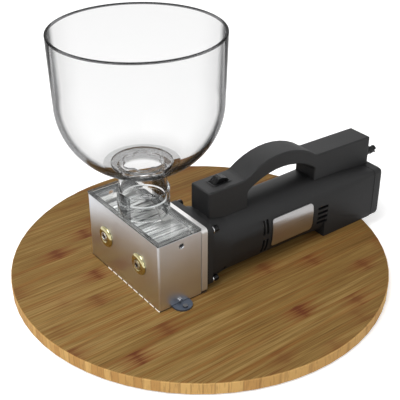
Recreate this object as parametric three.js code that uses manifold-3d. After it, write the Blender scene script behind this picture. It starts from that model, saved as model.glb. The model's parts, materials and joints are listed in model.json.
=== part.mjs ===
// Electric grain mill: a two-roller mill box and its gear motor on a round bamboo board.
// Millimetres. X runs across the mill box, Y from its front face to the motor, Z is up.
// The origin is the middle of the board's underside.
import * as THREE from 'three';
import { mergeVertices } from 'three/addons/utils/BufferGeometryUtils.js';
import Module from 'manifold-3d';

const wasm = await Module();
wasm.setup();

// Clearances that several pieces share
const seat = 0.3; // between pieces that rest on or in each other
const run = 0.6; // round pieces that turn
const overrun = 3; // how far a cut passes the face that it opens

// Numbers of facets
const roundFacets = 24;
const smallFacets = 10;
const hexagonFacets = 6;
const innerFacets = 16;
const hopperFacets = 36;
const boardFacets = 64;
const sectionPoints = 28;

// Board and the gasket on it
const board = {
  radius: 200, thickness: 14, edge: 1.2, outletLength: 96, outletWidth: 36, outletCorner: 8,
};
const gasket = { thickness: 0.8, width: 7 };

// Mill box
const box = {
  centreX: -5.5, frontY: -92.7, width: 128, depth: 50.4, height: 78, sheet: 1.5, bend: 2.3,
  clipHoleRadius: 3, clipHoleDrop: 11, clipHoleBack: 27,
};
const frontPlate = { thickness: 8, drop: 8 };
const backPlate = { thickness: 7, proud: 0.6, corner: 4 };
const post = { radius: 4, spigotRadius: 2.5, topInset: 8, lowInset: 12.5, topDrop: 12.5, lowRise: 6.5 };

// Rollers, their shafts and bushes
const roller = {
  sideGap: 3.6, gap: 1.2, flutes: 32, fluteDepth: 0.9, axisHeight: 39, pairShift: 0.5,
};
const fluteLandShare = 0.45; // of a flute's pitch that stays at full radius
const shaft = { radius: 5, proud: 0.45, socketRadius: 2.8, socketDepth: 4 };
const bush = { radius: 10, flangeRadius: 11.6, flangeEdge: 0.9, dome: 1.6, crownRadius: 6.6 };
const eccentricity = 1;

// Clear cover with its collar
const cover = {
  lid: 2.5, rim: 3.4, recess: 1.2, skirt: 2, skirtDepth: 4.6,
  collarRadius: 26.2, collarWall: 2.2, collarHeight: 26, ledgeHeight: 14.4, ledge: 2,
  throatRadius: 21.6, throatWall: 1.8, shiftX: 1.5, shiftY: 1.2,
};

// Hopper and finger guard; heights are above the board
const hopper = {
  rimRadius: 81, rimHeight: 262.4, bowlRadius: 79.2, bowlHeight: 195.9, bowlBottom: 121.7, wall: 2.8,
  neckWall: 2.3, stepRadius: 30.5, stepDrop: 1.2,
};
const guard = { thickness: 3, openRadius: 16, lobe: 4, lobes: 6, clearance: 0.5 };

// Lugs that hold the box to the board
const lug = {
  width: 20.5, foot: 13.5, thickness: 1.8, leg: 14, fromFront: 24.7, holeBack: 3.5,
  screwRadius: 1.7, screwHead: 2.6, screwHeadHeight: 1.2, screwLength: 11,
  sideScrewRise: 0.8, sideScrewHead: 2, sideScrewRadius: 1.3, sideScrewHeadHeight: 1.5,
};

// Sections of the motor side: half width, and heights above the board.
// A power of 2 is round and a high one is nearly square.
const flangeShape = { top: 75.2, middle: 39, bottom: 3, upperPower: 9, lowerPower: 9 };
const noseSection = { half: 32.2, top: 73.2, middle: 39, bottom: 2.4, upperPower: 3.6, lowerPower: 4.2 };
const bodySection = { half: 30.6, top: 69.6, middle: 39, bottom: 0.4, upperPower: 2, lowerPower: 2.7 };
const tailSection = { half: 33, top: 59.4, middle: 32, bottom: 0.4, upperPower: 14, lowerPower: 14 };

// Gear housing, motor body and end plate, placed along Y from the back plate's rear face
const housing = { flange: 7.4, length: 35, wallFront: 6.4, web: 9.5, channelRadius: 6.4, channelEnd: 29 };
const flangeScrew = { sideInset: 3.8, spreadZ: 29.3, radius: 2, head: 3.7, headHeight: 4.8, socket: 1.9 };
const bodyEasePower = 1.4; // above 1 the body stays round for longer
const body = {
  length: 202.4, wall: 2.6, roundEnd: 95, footStart: 129.5, footHalf: 31, footTop: 33, footBottom: 0.2,
};
const tail = { thickness: 10.5, proud: 0.3, skin: 2.4, screwInset: 8, screwRadius: 1.6, screwHead: 3.2 };

// Vents and label on the right side of the motor body, placed along Y from the body's front
const frontVents = { start: 40.5, pitch: 5, width: 3, heights: [[35, 51.5], [12, 29]] };
const rearVents = { start: 118.5, length: 14.5, width: 3.3, top: 40.5, pitch: 6.1, count: 4 };
const label = { start: 52.7, length: 57.3, low: 16.5, high: 50, corner: 4, thickness: 1 };

// Handle; heights are above the board, places along Y from the body's front
const handle = {
  half: 15, wall: 2.4, split: 0.3, front: -19, rearPast: 5.6, bottom: 40, blockTop: 98.5,
  rearTop: 96, rearEndTop: 94, archMiddle: 75.5, archRadius: 82, archTop: 113.9,
  holeRadius: 80, holeTop: 97.3, holeFront: 31.5, holeRear: 124,
};
const archSteps = 10;
const handleScrew = { radius: 1.5, head: 2.9, headHeight: 1.8, boss: 3.6, reach: 10 };
const handleScrewPlaces = [[23, 88], [142, 82]];
const rocker = {
  middle: 4.5, length: 20.6, width: 12.6, bezel: 1.6, bezelHeight: 0.5, depth: 15, pocket: 7.5,
  rockerGap: 0.7, rise: 4.6, dip: 1.1, belly: 2.2, pivotSink: 0.9, tilt: 10,
};
const gland = {
  height: 65.2, boreRadius: 3.3, neck: 4.3, collar: 4.9, collarLength: 4, length: 25.5, tip: 4.1,
  ribs: 3, ribHeight: 0.4, notch: 2.6,
};
const terminal = { half: 7, bossGap: 5, glandGap: 12, height: 26 };

// Gear train between the motor shaft and the driven roller
const gears = { module: 0.9, sun: 12, planet: 18, ring: 48, width: 8, rim: 3.2 };
const toothAddendumShare = 0.78; // of the module
const toothDedendumShare = 1.12; // of the module
const toothTipShare = 0.2; // of a tooth's pitch, at its tip
const toothRootShare = 0.5; // of a tooth's pitch, at its root
const carrier = { plate: 4, radius: 18, pin: 2.4 };
const coupling = { radius: 9 };

// Motor; places along Y from the body's front
const motorShaft = { radius: 4, rearEnd: 111 };
const ballBearing = { radius: 11, width: 7, groove: 0.8, rearStart: 100 };
const fan = { start: 2, length: 9, radius: 23.5, blades: 9, blade: 1.6, hub: 8, plate: 2 };
const core = { start: 20, length: 42, radius: 15.6, slots: 8, slotWidth: 2.4, slotDepth: 6.5 };
const windings = { length: 6.5, inner: 5.2, outer: 13.6 };
const commutator = { start: 73, length: 14, radius: 10, bars: 8, slit: 0.7, slitDepth: 1.2 };
const stator = { outer: 26.7, inner: 22.2, bore: 16.4 };
const coil = { inner: 17, outer: 21.7, overhang: 5, poleGap: 0.4 };
const poleShare = 0.31; // of the full circle that each pole spans
const poleSteps = 5;
const bracket = { start: 99, thickness: 9, ventRadius: 4.2, ventCircle: 19, vents: 6 };
const brush = { start: 76, width: 8, height: 6, length: 12, boxWall: 1, yokeRadius: 27.3, yokeWall: 4 };

// Places worked out from the sizes above
const boardTop = board.thickness;
const boxBottom = boardTop + gasket.thickness + seat;
const boxTop = boardTop + box.height;
const boxLeft = box.centreX - box.width / 2;
const boxRight = box.centreX + box.width / 2;
const sheetRear = box.frontY + box.depth;
const sheetTop = boxTop - cover.lid - seat;
const frontPlateFront = box.frontY + box.sheet + seat;
const frontPlateRear = frontPlateFront + frontPlate.thickness;
const backPlateFront = sheetRear + seat;
const backPlateRear = backPlateFront + backPlate.thickness;
const plateTop = sheetTop - frontPlate.drop + seat;
const axisZ = boardTop + roller.axisHeight;
const rollerRadius = (box.width - 2 * roller.sideGap - roller.gap) / 4;
const motorX = box.centreX + rollerRadius + roller.gap / 2 - roller.pairShift;
const idlerX = motorX - 2 * rollerRadius - roller.gap;
const idlerAxisZ = axisZ + eccentricity;
const hopperX = box.centreX + cover.shiftX;
const hopperY = (box.frontY + sheetRear) / 2 + cover.shiftY;
const housingFront = backPlateRear + seat;
const bodyFront = housingFront + housing.length;
const bodyRear = bodyFront + body.length;
const tailFront = bodyRear + seat;
const tailRear = tailFront + tail.thickness;
const handleRear = bodyRear + handle.rearPast;
const flangeSection = { half: boxRight - motorX, ...flangeShape };

// Finishes
const finish = (color, roughness, metalness, opacity = 1) => new THREE.MeshStandardMaterial({
  color, roughness, metalness, opacity, transparent: opacity < 1,
});
const bamboo = finish(0xa9743a, 0.55, 0);
const paleSeal = finish(0xe9e6df, 0.6, 0);
const satinSteel = finish(0xb9aea0, 0.35, 1);
const plateSteel = finish(0xd8d4ce, 0.3, 1);
const darkSteel = finish(0x6d6e72, 0.4, 1);
const brass = finish(0xd2ab4e, 0.28, 1);
const zinc = finish(0x5a6470, 0.45, 0.8);
const clear = finish(0xf2f4f5, 0.05, 0, 0.25);
const blackPlastic = finish(0x2b2b2c, 0.6, 0);
const switchPlastic = finish(0x161617, 0.35, 0);
const labelMetal = finish(0xc9c7c6, 0.3, 1);
const copper = finish(0xb8672f, 0.35, 1);
const carbon = finish(0x3a3a3c, 0.7, 0.2);
const nylon = finish(0xd9d5c6, 0.5, 0);

// Solids and booleans
function solidOf(geometry) {
  geometry.deleteAttribute('normal');
  geometry.deleteAttribute('uv');
  const merged = mergeVertices(geometry);
  return new wasm.Manifold(new wasm.Mesh({
    numProp: 3,
    vertProperties: new Float32Array(merged.attributes.position.array),
    triVerts: new Uint32Array(merged.index.array),
  }));
}

function geometryOf(solid) {
  const mesh = solid.getMesh();
  const geometry = new THREE.BufferGeometry();
  geometry.setAttribute('position', new THREE.BufferAttribute(mesh.vertProperties, 3));
  geometry.setIndex(new THREE.BufferAttribute(mesh.triVerts, 1));
  geometry.computeVertexNormals();
  return geometry;
}

const cut = (solid, ...tools) => tools.flat().reduce((rest, tool) => rest.subtract(tool), solid);
const join = (...solids) => solids.flat().reduce((sum, solid) => sum.add(solid));
const counted = (count, make) => Array.from({ length: count }, (_, index) => make(index));

function block(x, y, z) {
  const geometry = new THREE.BoxGeometry(x[1] - x[0], y[1] - y[0], z[1] - z[0]);
  return solidOf(geometry.translate((x[0] + x[1]) / 2, (y[0] + y[1]) / 2, (z[0] + z[1]) / 2));
}

function rodX(radius, x, y, z, facets = smallFacets) {
  const geometry = new THREE.CylinderGeometry(radius, radius, x[1] - x[0], facets);
  return solidOf(geometry.rotateZ(Math.PI / 2).translate((x[0] + x[1]) / 2, y, z));
}

function rodY(radius, x, y, z, facets = roundFacets) {
  const geometry = new THREE.CylinderGeometry(radius, radius, y[1] - y[0], facets);
  return solidOf(geometry.translate(x, (y[0] + y[1]) / 2, z));
}

function rodZ(radius, x, y, z, facets = smallFacets) {
  const geometry = new THREE.CylinderGeometry(radius, radius, z[1] - z[0], facets);
  return solidOf(geometry.rotateX(Math.PI / 2).translate(x, y, (z[0] + z[1]) / 2));
}

// A closed outline of [radius, along] points, turned about Y at x and z
function turnedY(points, x, z, facets = roundFacets) {
  const outline = points.map(([radius, along]) => new THREE.Vector2(radius, along));
  if (THREE.ShapeUtils.isClockWise(outline)) outline.reverse();
  outline.push(outline[0].clone());
  return solidOf(new THREE.LatheGeometry(outline, facets).translate(x, 0, z));
}

// The same, turned about Z at x and y
function turnedZ(points, x, y, facets) {
  const outline = points.map(([radius, along]) => new THREE.Vector2(radius, along));
  if (THREE.ShapeUtils.isClockWise(outline)) outline.reverse();
  outline.push(outline[0].clone());
  return solidOf(new THREE.LatheGeometry(outline, facets).rotateX(Math.PI / 2).translate(x, y, 0));
}

function extruded(shape, depth) {
  return new THREE.ExtrudeGeometry(shape, { depth, bevelEnabled: false, curveSegments: 3 });
}

// Outlines drawn in (y, z), (x, z) and (x, y), raised along the third axis
function extrudedX(shape, x) {
  const axes = new THREE.Matrix4().makeBasis(
    new THREE.Vector3(0, 1, 0), new THREE.Vector3(0, 0, 1), new THREE.Vector3(1, 0, 0));
  return solidOf(extruded(shape, x[1] - x[0]).applyMatrix4(axes).translate(x[0], 0, 0));
}

function extrudedY(shape, y) {
  return solidOf(extruded(shape, y[1] - y[0]).rotateX(Math.PI / 2).translate(0, y[1], 0));
}

function extrudedZ(shape, z) {
  return solidOf(extruded(shape, z[1] - z[0]).translate(0, 0, z[0]));
}

function polygon(points) {
  return new THREE.Shape(points.map(([across, up]) => new THREE.Vector2(across, up)));
}

function roundedRectangle(low, high, radius) {
  const shape = new THREE.Shape();
  const [left, bottom] = low;
  const [right, top] = high;
  shape.moveTo(left + radius, bottom);
  shape.lineTo(right - radius, bottom);
  shape.absarc(right - radius, bottom + radius, radius, -Math.PI / 2, 0);
  shape.lineTo(right, top - radius);
  shape.absarc(right - radius, top - radius, radius, 0, Math.PI / 2);
  shape.lineTo(left + radius, top);
  shape.absarc(left + radius, top - radius, radius, Math.PI / 2, Math.PI);
  shape.lineTo(left, bottom + radius);
  shape.absarc(left + radius, bottom + radius, radius, Math.PI, 1.5 * Math.PI);
  return shape;
}

// Points on a circle, turned about a centre, as [across, up]
const onCircle = (radius, angle, x = 0, y = 0) => [
  x + radius * Math.cos(angle), y + radius * Math.sin(angle),
];

// Section rings and lofts for the motor side
const signedPower = (value, power) => Math.sign(value) * Math.abs(value) ** (2 / power);

function sectionPoint(section, angle, inset) {
  const upper = Math.sin(angle) >= 0;
  const reach = upper ? section.top - section.middle : section.middle - section.bottom;
  const power = upper ? section.upperPower : section.lowerPower;
  return [
    motorX + (section.half - inset) * signedPower(Math.cos(angle), power),
    boardTop + section.middle + (reach - inset) * signedPower(Math.sin(angle), power),
  ];
}

function sectionRing(section, y, inset = 0) {
  return counted(sectionPoints, (index) => {
    const [x, z] = sectionPoint(section, (2 * Math.PI * index) / sectionPoints, inset);
    return new THREE.Vector3(x, y, z);
  });
}

// Powers blend by their inverses, so that a section turns square only near its square end
function blended(from, to, share) {
  return Object.fromEntries(Object.keys(from).map((key) => [key, key.endsWith('Power')
    ? 1 / THREE.MathUtils.lerp(1 / from[key], 1 / to[key], share)
    : THREE.MathUtils.lerp(from[key], to[key], share)]));
}

// Skins rings of equal length, in order along Y, into one closed body
function loft(rings) {
  const count = rings[0].length;
  const middle = (ring) => ring.reduce(
    (sum, point) => sum.add(point), new THREE.Vector3()).divideScalar(count);
  const points = [...rings.flat(), middle(rings[0]), middle(rings[rings.length - 1])];
  const startCentre = points.length - 2;
  const endCentre = points.length - 1;
  const lastRing = (rings.length - 1) * count;
  const faces = [];
  for (let index = 0; index < count; index += 1) {
    const next = (index + 1) % count;
    for (let start = 0; start < lastRing; start += count) {
      faces.push(start + index, start + count + index, start + next);
      faces.push(start + count + index, start + count + next, start + next);
    }
    faces.push(startCentre, index, next);
    faces.push(endCentre, lastRing + next, lastRing + index);
  }
  const geometry = new THREE.BufferGeometry().setFromPoints(points);
  geometry.setIndex(faces);
  return solidOf(geometry);
}

// Gear outlines, with the first tooth or gap on +X
function gearOutline(teeth, tipRadius, rootRadius, phase) {
  const pitch = (2 * Math.PI) / teeth;
  const corners = [
    [rootRadius, -toothRootShare / 2], [tipRadius, -toothTipShare / 2],
    [tipRadius, toothTipShare / 2], [rootRadius, toothRootShare / 2],
  ];
  return counted(teeth, (tooth) => corners.map(
    ([radius, share]) => onCircle(radius, phase + (tooth + share) * pitch))).flat();
}

const movedTo = (points, x, z) => points.map(([across, up]) => [x + across, z + up]);
const gearRadius = (teeth) => (gears.module * teeth) / 2;
const addendum = gears.module * toothAddendumShare;
const dedendum = gears.module * toothDedendumShare;

// Model
const mill = new THREE.Group();

function add(name, solid, material) {
  const mesh = new THREE.Mesh(geometryOf(solid), material);
  mesh.name = name;
  mill.add(mesh);
}

// Board with the grain outlet under the rollers
const outletLow = [box.centreX - board.outletLength / 2, hopperY - board.outletWidth / 2];
const outletHigh = [box.centreX + board.outletLength / 2, hopperY + board.outletWidth / 2];
const sides = [1, -1];
const lugSides = [[1, boxRight], [-1, boxLeft]];
const lugY = box.frontY + lug.fromFront;
const lugScrewX = (side, wallX) => wallX + side * (lug.foot - lug.holeBack - lug.screwRadius);
const lugScrewBottom = boardTop + seat + lug.thickness - lug.screwLength;

function makeBoard() {
  const { radius, thickness, edge } = board;
  const disc = turnedZ([
    [0, 0], [radius - edge, 0], [radius, edge], [radius, thickness - edge],
    [radius - edge, thickness], [0, thickness],
  ], 0, 0, boardFacets);
  const outlet = extrudedZ(
    roundedRectangle(outletLow, outletHigh, board.outletCorner), [-overrun, thickness + overrun]);
  const screwHoles = lugSides.map(([side, wallX]) => rodZ(
    lug.screwRadius + seat, lugScrewX(side, wallX), lugY, [lugScrewBottom - seat, thickness + overrun]));
  return cut(disc, outlet, screwHoles);
}
add('bamboo_board', makeBoard(), bamboo);

// Space that a lug's foot takes under the sheet
const lugFootSpace = (side, wallX, gap) => {
  const inner = wallX - side * (box.sheet + seat + lug.thickness + gap);
  const outer = wallX + side * (lug.foot + gap);
  return block(
    [Math.min(inner, outer), Math.max(inner, outer)],
    [lugY - lug.width / 2 - gap, lugY + lug.width / 2 + gap],
    [boardTop - overrun, boardTop + seat + lug.thickness + gap]);
};

function makeGasket() {
  const z = [boardTop, boardTop + gasket.thickness];
  const strip = block([boxLeft, boxRight], [box.frontY, backPlateRear], z);
  const window = block(
    [boxLeft + gasket.width, boxRight - gasket.width],
    [box.frontY + gasket.width, backPlateRear - gasket.width], [z[0] - overrun, z[1] + overrun]);
  return cut(strip, window, lugSides.map(([side, wallX]) => lugFootSpace(side, wallX, seat)));
}
add('base_gasket', makeGasket(), paleSeal);

// Lugs: a leg inside the sheet and a half-round foot outside
const sideScrewZ = boardTop + seat + lug.thickness + lug.sideScrewRise + lug.sideScrewHead;
const sideScrewReach = (side, wallX) => [
  wallX - side * (box.sheet + lug.thickness + 2 * seat), wallX + side * lug.sideScrewHeadHeight,
];
const between = (a, b) => [Math.min(a, b), Math.max(a, b)];

function makeLug(side, wallX) {
  const inner = wallX - side * (box.sheet + seat + lug.thickness);
  const straight = wallX + side * (lug.foot - lug.width / 2);
  const low = boardTop + seat;
  const foot = join(
    block(between(inner, straight), [lugY - lug.width / 2, lugY + lug.width / 2], [low, low + lug.thickness]),
    rodZ(lug.width / 2, straight, lugY, [low, low + lug.thickness], roundFacets));
  const trimmed = foot.intersect(lugFootSpace(side, wallX, 0));
  const leg = block(
    between(inner, inner + side * lug.thickness),
    [lugY - lug.width / 2, lugY + lug.width / 2], [low, low + lug.leg]);
  return cut(
    join(trimmed, leg),
    rodZ(
      lug.screwRadius + seat, lugScrewX(side, wallX), lugY, [low - overrun, low + lug.thickness + overrun]),
    rodX(lug.sideScrewRadius + seat,
      between(inner - side * overrun, inner + side * (lug.thickness + overrun)), lugY, sideScrewZ));
}
add('mounting_lug_right', makeLug(1, boxRight), zinc);
add('mounting_lug_left', makeLug(-1, boxLeft), zinc);

function makeLugScrew([side, wallX]) {
  const x = lugScrewX(side, wallX);
  const headBottom = boardTop + 2 * seat + lug.thickness;
  const head = rodZ(lug.screwHead, x, lugY, [headBottom, headBottom + lug.screwHeadHeight]);
  return join(head, rodZ(lug.screwRadius, x, lugY, [lugScrewBottom, headBottom + lug.screwHeadHeight / 2]));
}
lugSides.forEach((place, index) => add(`lug_board_screw_${index + 1}`, makeLugScrew(place), darkSteel));

function makeSideScrew([side, wallX]) {
  const outside = wallX + side * seat;
  const headX = between(outside, outside + side * lug.sideScrewHeadHeight);
  const head = rodX(lug.sideScrewHead, headX, lugY, sideScrewZ);
  return join(head, rodX(lug.sideScrewRadius, between(...sideScrewReach(side, wallX)), lugY, sideScrewZ));
}
lugSides.forEach((place, index) => add(`lug_side_screw_${index + 1}`, makeSideScrew(place), plateSteel));

// Folded sheet: the front and both sides
const bushPlaces = [[motorX, axisZ], [idlerX, axisZ]];
const clipHoleY = box.frontY + box.clipHoleBack;
const clipHoleZ = boxTop - box.clipHoleDrop;

function sheetOutline() {
  const inner = box.bend - box.sheet;
  const shape = new THREE.Shape();
  shape.moveTo(boxLeft, sheetRear);
  shape.lineTo(boxLeft, box.frontY + box.bend);
  shape.absarc(boxLeft + box.bend, box.frontY + box.bend, box.bend, Math.PI, 1.5 * Math.PI);
  shape.lineTo(boxRight - box.bend, box.frontY);
  shape.absarc(boxRight - box.bend, box.frontY + box.bend, box.bend, -Math.PI / 2, 0);
  shape.lineTo(boxRight, sheetRear);
  shape.lineTo(boxRight - box.sheet, sheetRear);
  shape.lineTo(boxRight - box.sheet, box.frontY + box.bend);
  shape.absarc(boxRight - box.bend, box.frontY + box.bend, inner, 0, -Math.PI / 2, true);
  shape.lineTo(boxLeft + box.bend, box.frontY + box.sheet);
  shape.absarc(boxLeft + box.bend, box.frontY + box.bend, inner, 1.5 * Math.PI, Math.PI, true);
  shape.lineTo(boxLeft + box.sheet, sheetRear);
  return shape;
}

function makeShell() {
  const walls = extrudedZ(sheetOutline(), [boxBottom, sheetTop]);
  const acrossFront = [box.frontY - overrun, box.frontY + box.sheet + overrun];
  const bushHoles = bushPlaces.map(([x, z]) => rodY(bush.radius + seat, x, acrossFront, z));
  const sideHoles = lugSides.flatMap(([, wallX]) => [
    rodX(box.clipHoleRadius, [wallX - overrun, wallX + overrun], clipHoleY, clipHoleZ),
    rodX(lug.sideScrewRadius + seat, [wallX - overrun, wallX + overrun], lugY, sideScrewZ),
  ]);
  return cut(walls, bushHoles, sideHoles, lugSides.map(([side, wallX]) => lugFootSpace(side, wallX, seat)));
}
add('mill_shell', makeShell(), satinSteel);

// Bearing plates: the front one has four posts whose spigots pass through the back plate
const postPlaces = sides.flatMap((side) => [
  [box.centreX + side * (box.width / 2 - post.topInset), boxTop - post.topDrop],
  [box.centreX + side * (box.width / 2 - post.lowInset), boxBottom + post.lowRise],
]);
const flangeScrewPlaces = [[1, 1], [-1, 1], [1, -1], [-1, -1]].map(([sideX, sideZ]) => [
  motorX + sideX * (flangeSection.half - flangeScrew.sideInset), axisZ + sideZ * flangeScrew.spreadZ,
]);

function makeFrontPlate() {
  const edge = box.sheet + seat;
  const y = [frontPlateFront, frontPlateRear];
  const cutY = [frontPlateFront - overrun, frontPlateRear + overrun];
  const plate = extrudedZ(
    roundedRectangle([boxLeft + edge, y[0]], [boxRight - edge, y[1]], box.bend - box.sheet),
    [boxBottom, plateTop]);
  const posts = postPlaces.flatMap(([x, z]) => [
    rodY(post.radius, x, [frontPlateFront + seat, backPlateFront - seat], z, smallFacets),
    rodY(post.spigotRadius, x, [frontPlateRear, backPlateRear - seat], z, smallFacets),
  ]);
  return join(cut(plate, bushPlaces.map(([x, z]) => rodY(bush.radius + seat, x, cutY, z))), posts);
}
add('front_bearing_plate', makeFrontPlate(), plateSteel);

function makeBackPlate() {
  const y = [backPlateFront, backPlateRear];
  const cutY = [backPlateFront - overrun, backPlateRear + overrun];
  const outline = roundedRectangle(
    [boxLeft - backPlate.proud, boxBottom], [boxRight + backPlate.proud, sheetTop], backPlate.corner);
  return cut(
    extrudedY(outline, y),
    bushPlaces.map(([x, z]) => rodY(bush.radius + seat, x, cutY, z)),
    postPlaces.map(([x, z]) => rodY(post.spigotRadius + seat, x, cutY, z, smallFacets)),
    flangeScrewPlaces.map(([x, z]) => rodY(flangeScrew.radius + seat, x, cutY, z, smallFacets)));
}
add('back_plate', makeBackPlate(), plateSteel);

// Bushes: a domed flange outside the sheet and a sleeve in the plate; the idler's are eccentric
const bushFlangeRear = box.frontY - seat;
const bushFront = bushFlangeRear - bush.flangeEdge - bush.dome;

function makeFrontBush(x, boreZ) {
  const domeStart = bushFlangeRear - bush.flangeEdge;
  const turned = turnedY([
    [0, bushFront], [bush.crownRadius, bushFront], [bush.flangeRadius, domeStart],
    [bush.flangeRadius, bushFlangeRear], [bush.radius, bushFlangeRear], [bush.radius, frontPlateRear],
    [0, frontPlateRear],
  ], x, axisZ);
  const bore = rodY(shaft.radius + seat, x, [bushFront - overrun, frontPlateRear + overrun], boreZ);
  return cut(turned, bore);
}

function makeRearBush(x, boreZ) {
  const sleeve = rodY(bush.radius, x, [backPlateFront, backPlateRear - seat], axisZ);
  const boreY = [backPlateFront - overrun, backPlateRear + overrun];
  return cut(sleeve, rodY(shaft.radius + seat, x, boreY, boreZ));
}
add('drive_bush_front', makeFrontBush(motorX, axisZ), brass);
add('drive_bush_rear', makeRearBush(motorX, axisZ), brass);
add('idler_bush_front', makeFrontBush(idlerX, idlerAxisZ), brass);
add('idler_bush_rear', makeRearBush(idlerX, idlerAxisZ), brass);

// Fluted rollers on their shafts
const rollerFront = frontPlateRear + run;
const rollerRear = backPlateFront - run;
const shaftFront = bushFront - shaft.proud;
const couplingFront = housingFront + seat;
const carrierFront = housingFront + housing.wallFront + seat;
const couplingMiddle = (couplingFront + carrierFront) / 2;

function flutedOutline(x, z) {
  const pitch = (2 * Math.PI) / roller.flutes;
  const root = rollerRadius - roller.fluteDepth;
  const corners = [
    [rollerRadius, -fluteLandShare / 2], [rollerRadius, fluteLandShare / 2], [root, 0.5],
  ];
  return polygon(counted(roller.flutes, (flute) => corners.map(
    ([radius, share]) => onCircle(radius, (flute + share) * pitch, x, z))).flat());
}

function makeRoller(x, z) {
  const drum = extrudedY(flutedOutline(x, z), [rollerFront, rollerRear]);
  return cut(drum, rodY(shaft.radius + seat, x, [rollerFront - overrun, rollerRear + overrun], z));
}

function makeShaft(x, z, rear) {
  const bar = rodY(shaft.radius, x, [shaftFront, rear], z);
  const socketY = [shaftFront - overrun, shaftFront + shaft.socketDepth];
  return cut(bar, rodY(shaft.socketRadius, x, socketY, z, hexagonFacets));
}
add('drive_roller', makeRoller(motorX, axisZ), plateSteel);
add('drive_shaft', makeShaft(motorX, axisZ, couplingMiddle - seat), plateSteel);
add('idler_roller', makeRoller(idlerX, idlerAxisZ), plateSteel);
add('idler_shaft', makeShaft(idlerX, idlerAxisZ, backPlateRear - seat), plateSteel);

// Clear cover: a lid with a raised rim, a skirt inside the sheet, and a collar with a ledge
const coverY = [box.frontY, sheetRear];
const lidBottom = boxTop - cover.lid;

function makeCover() {
  const corner = box.bend - box.sheet;
  const inset = (gap, z) => extrudedZ(roundedRectangle(
    [boxLeft + gap, coverY[0] + gap], [boxRight - gap, coverY[1] - gap], corner), z);
  const skirtGap = box.sheet + seat;
  const lid = inset(0, [lidBottom, boxTop]);
  const recess = inset(cover.rim, [boxTop - cover.recess, boxTop + overrun]);
  const skirt = inset(skirtGap, [lidBottom - cover.skirtDepth, lidBottom + cover.recess / 2]);
  const skirtHollow = inset(skirtGap + cover.skirt, [lidBottom - cover.skirtDepth - overrun, lidBottom]);
  const { collarRadius, throatRadius, ledge } = cover;
  const bore = collarRadius - cover.collarWall;
  const foot = boxTop + seat;
  const ledgeTop = boxTop + cover.ledgeHeight;
  const collar = turnedZ([
    [throatRadius, lidBottom], [throatRadius + cover.throatWall, lidBottom],
    [throatRadius + cover.throatWall, foot], [collarRadius, foot],
    [collarRadius, boxTop + cover.collarHeight], [bore, boxTop + cover.collarHeight],
    [bore, ledgeTop], [bore - ledge, ledgeTop], [bore - ledge, ledgeTop - ledge],
    [bore, ledgeTop - 2 * ledge],
    [bore, foot + 2 * ledge], [throatRadius, foot + ledge],
  ], hopperX, hopperY, hopperFacets);
  const wayZ = [lidBottom - overrun, boxTop + overrun];
  const way = rodZ(throatRadius + seat, hopperX, hopperY, wayZ, hopperFacets);
  return join(cut(join(lid, cut(skirt, skirtHollow)), recess, way), collar);
}
add('clear_cover', makeCover(), clear);

// Hopper: rim, flared wall, round bowl and a neck that plugs into the collar
const neckRadius = cover.collarRadius - cover.collarWall - seat;
const neckBore = neckRadius - hopper.neckWall;
const neckEnd = boxTop + cover.ledgeHeight + seat;
const bowlZ = boardTop + hopper.bowlHeight;
const bowlDepth = hopper.bowlHeight - hopper.bowlBottom;
const bowlStep = Math.sqrt(1 - (hopper.stepRadius / (hopper.bowlRadius - hopper.wall)) ** 2);
const stepZ = bowlZ - (bowlDepth - hopper.wall) * bowlStep - hopper.stepDrop;
const bowlSteps = 6;

// The bowl is a flattened half sphere; the arc runs from its widest ring down to a radius
function bowlArc(wall, endRadius) {
  const last = Math.acos(endRadius / (hopper.bowlRadius - wall));
  return counted(bowlSteps + 1, (step) => {
    const angle = (last * step) / bowlSteps;
    return [
      (hopper.bowlRadius - wall) * Math.cos(angle), bowlZ - (bowlDepth - wall) * Math.sin(angle),
    ];
  });
}

function makeHopper() {
  const rimZ = boardTop + hopper.rimHeight;
  const rimSlope = hopper.wall / 3;
  const blend = neckRadius + hopper.wall;
  const outside = bowlArc(0, blend);
  const outsideEnd = outside[outside.length - 1][1];
  const inside = bowlArc(hopper.wall, hopper.stepRadius).reverse();
  return turnedZ([
    [hopper.rimRadius, rimZ - rimSlope], ...outside,
    [neckRadius, outsideEnd - hopper.wall], [neckRadius, neckEnd], [neckBore, neckEnd],
    [neckBore, stepZ], [hopper.stepRadius, stepZ], ...inside,
    [hopper.rimRadius - hopper.wall, rimZ - rimSlope],
    [hopper.rimRadius - hopper.wall + rimSlope, rimZ], [hopper.rimRadius - rimSlope, rimZ],
  ], hopperX, hopperY, hopperFacets);
}
add('hopper', makeHopper(), clear);

// Finger guard: a flat ring with a scalloped opening that lies on the hopper's step
function makeGuard() {
  const z = [stepZ + seat, stepZ + seat + guard.thickness];
  const pointsPerLobe = 6;
  const count = guard.lobes * pointsPerLobe;
  const opening = counted(count, (index) => {
    const angle = (2 * Math.PI * index) / count;
    const reach = guard.openRadius + guard.lobe * Math.abs(Math.sin((guard.lobes * angle) / 2));
    return onCircle(reach, angle, hopperX, hopperY);
  });
  const ring = rodZ(hopper.stepRadius - guard.clearance, hopperX, hopperY, z, hopperFacets);
  return cut(ring, extrudedZ(polygon(opening), [z[0] - overrun, z[1] + overrun]));
}
add('finger_guard', makeGuard(), clear);

// Gear housing: flange, tapering nose, corner channels for the screws, seat for the ring gear
const gearFront = carrierFront + carrier.plate + seat;
const webFront = bodyFront - housing.web;
const ringRadius = gearRadius(gears.ring) + dedendum + gears.rim;

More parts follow.
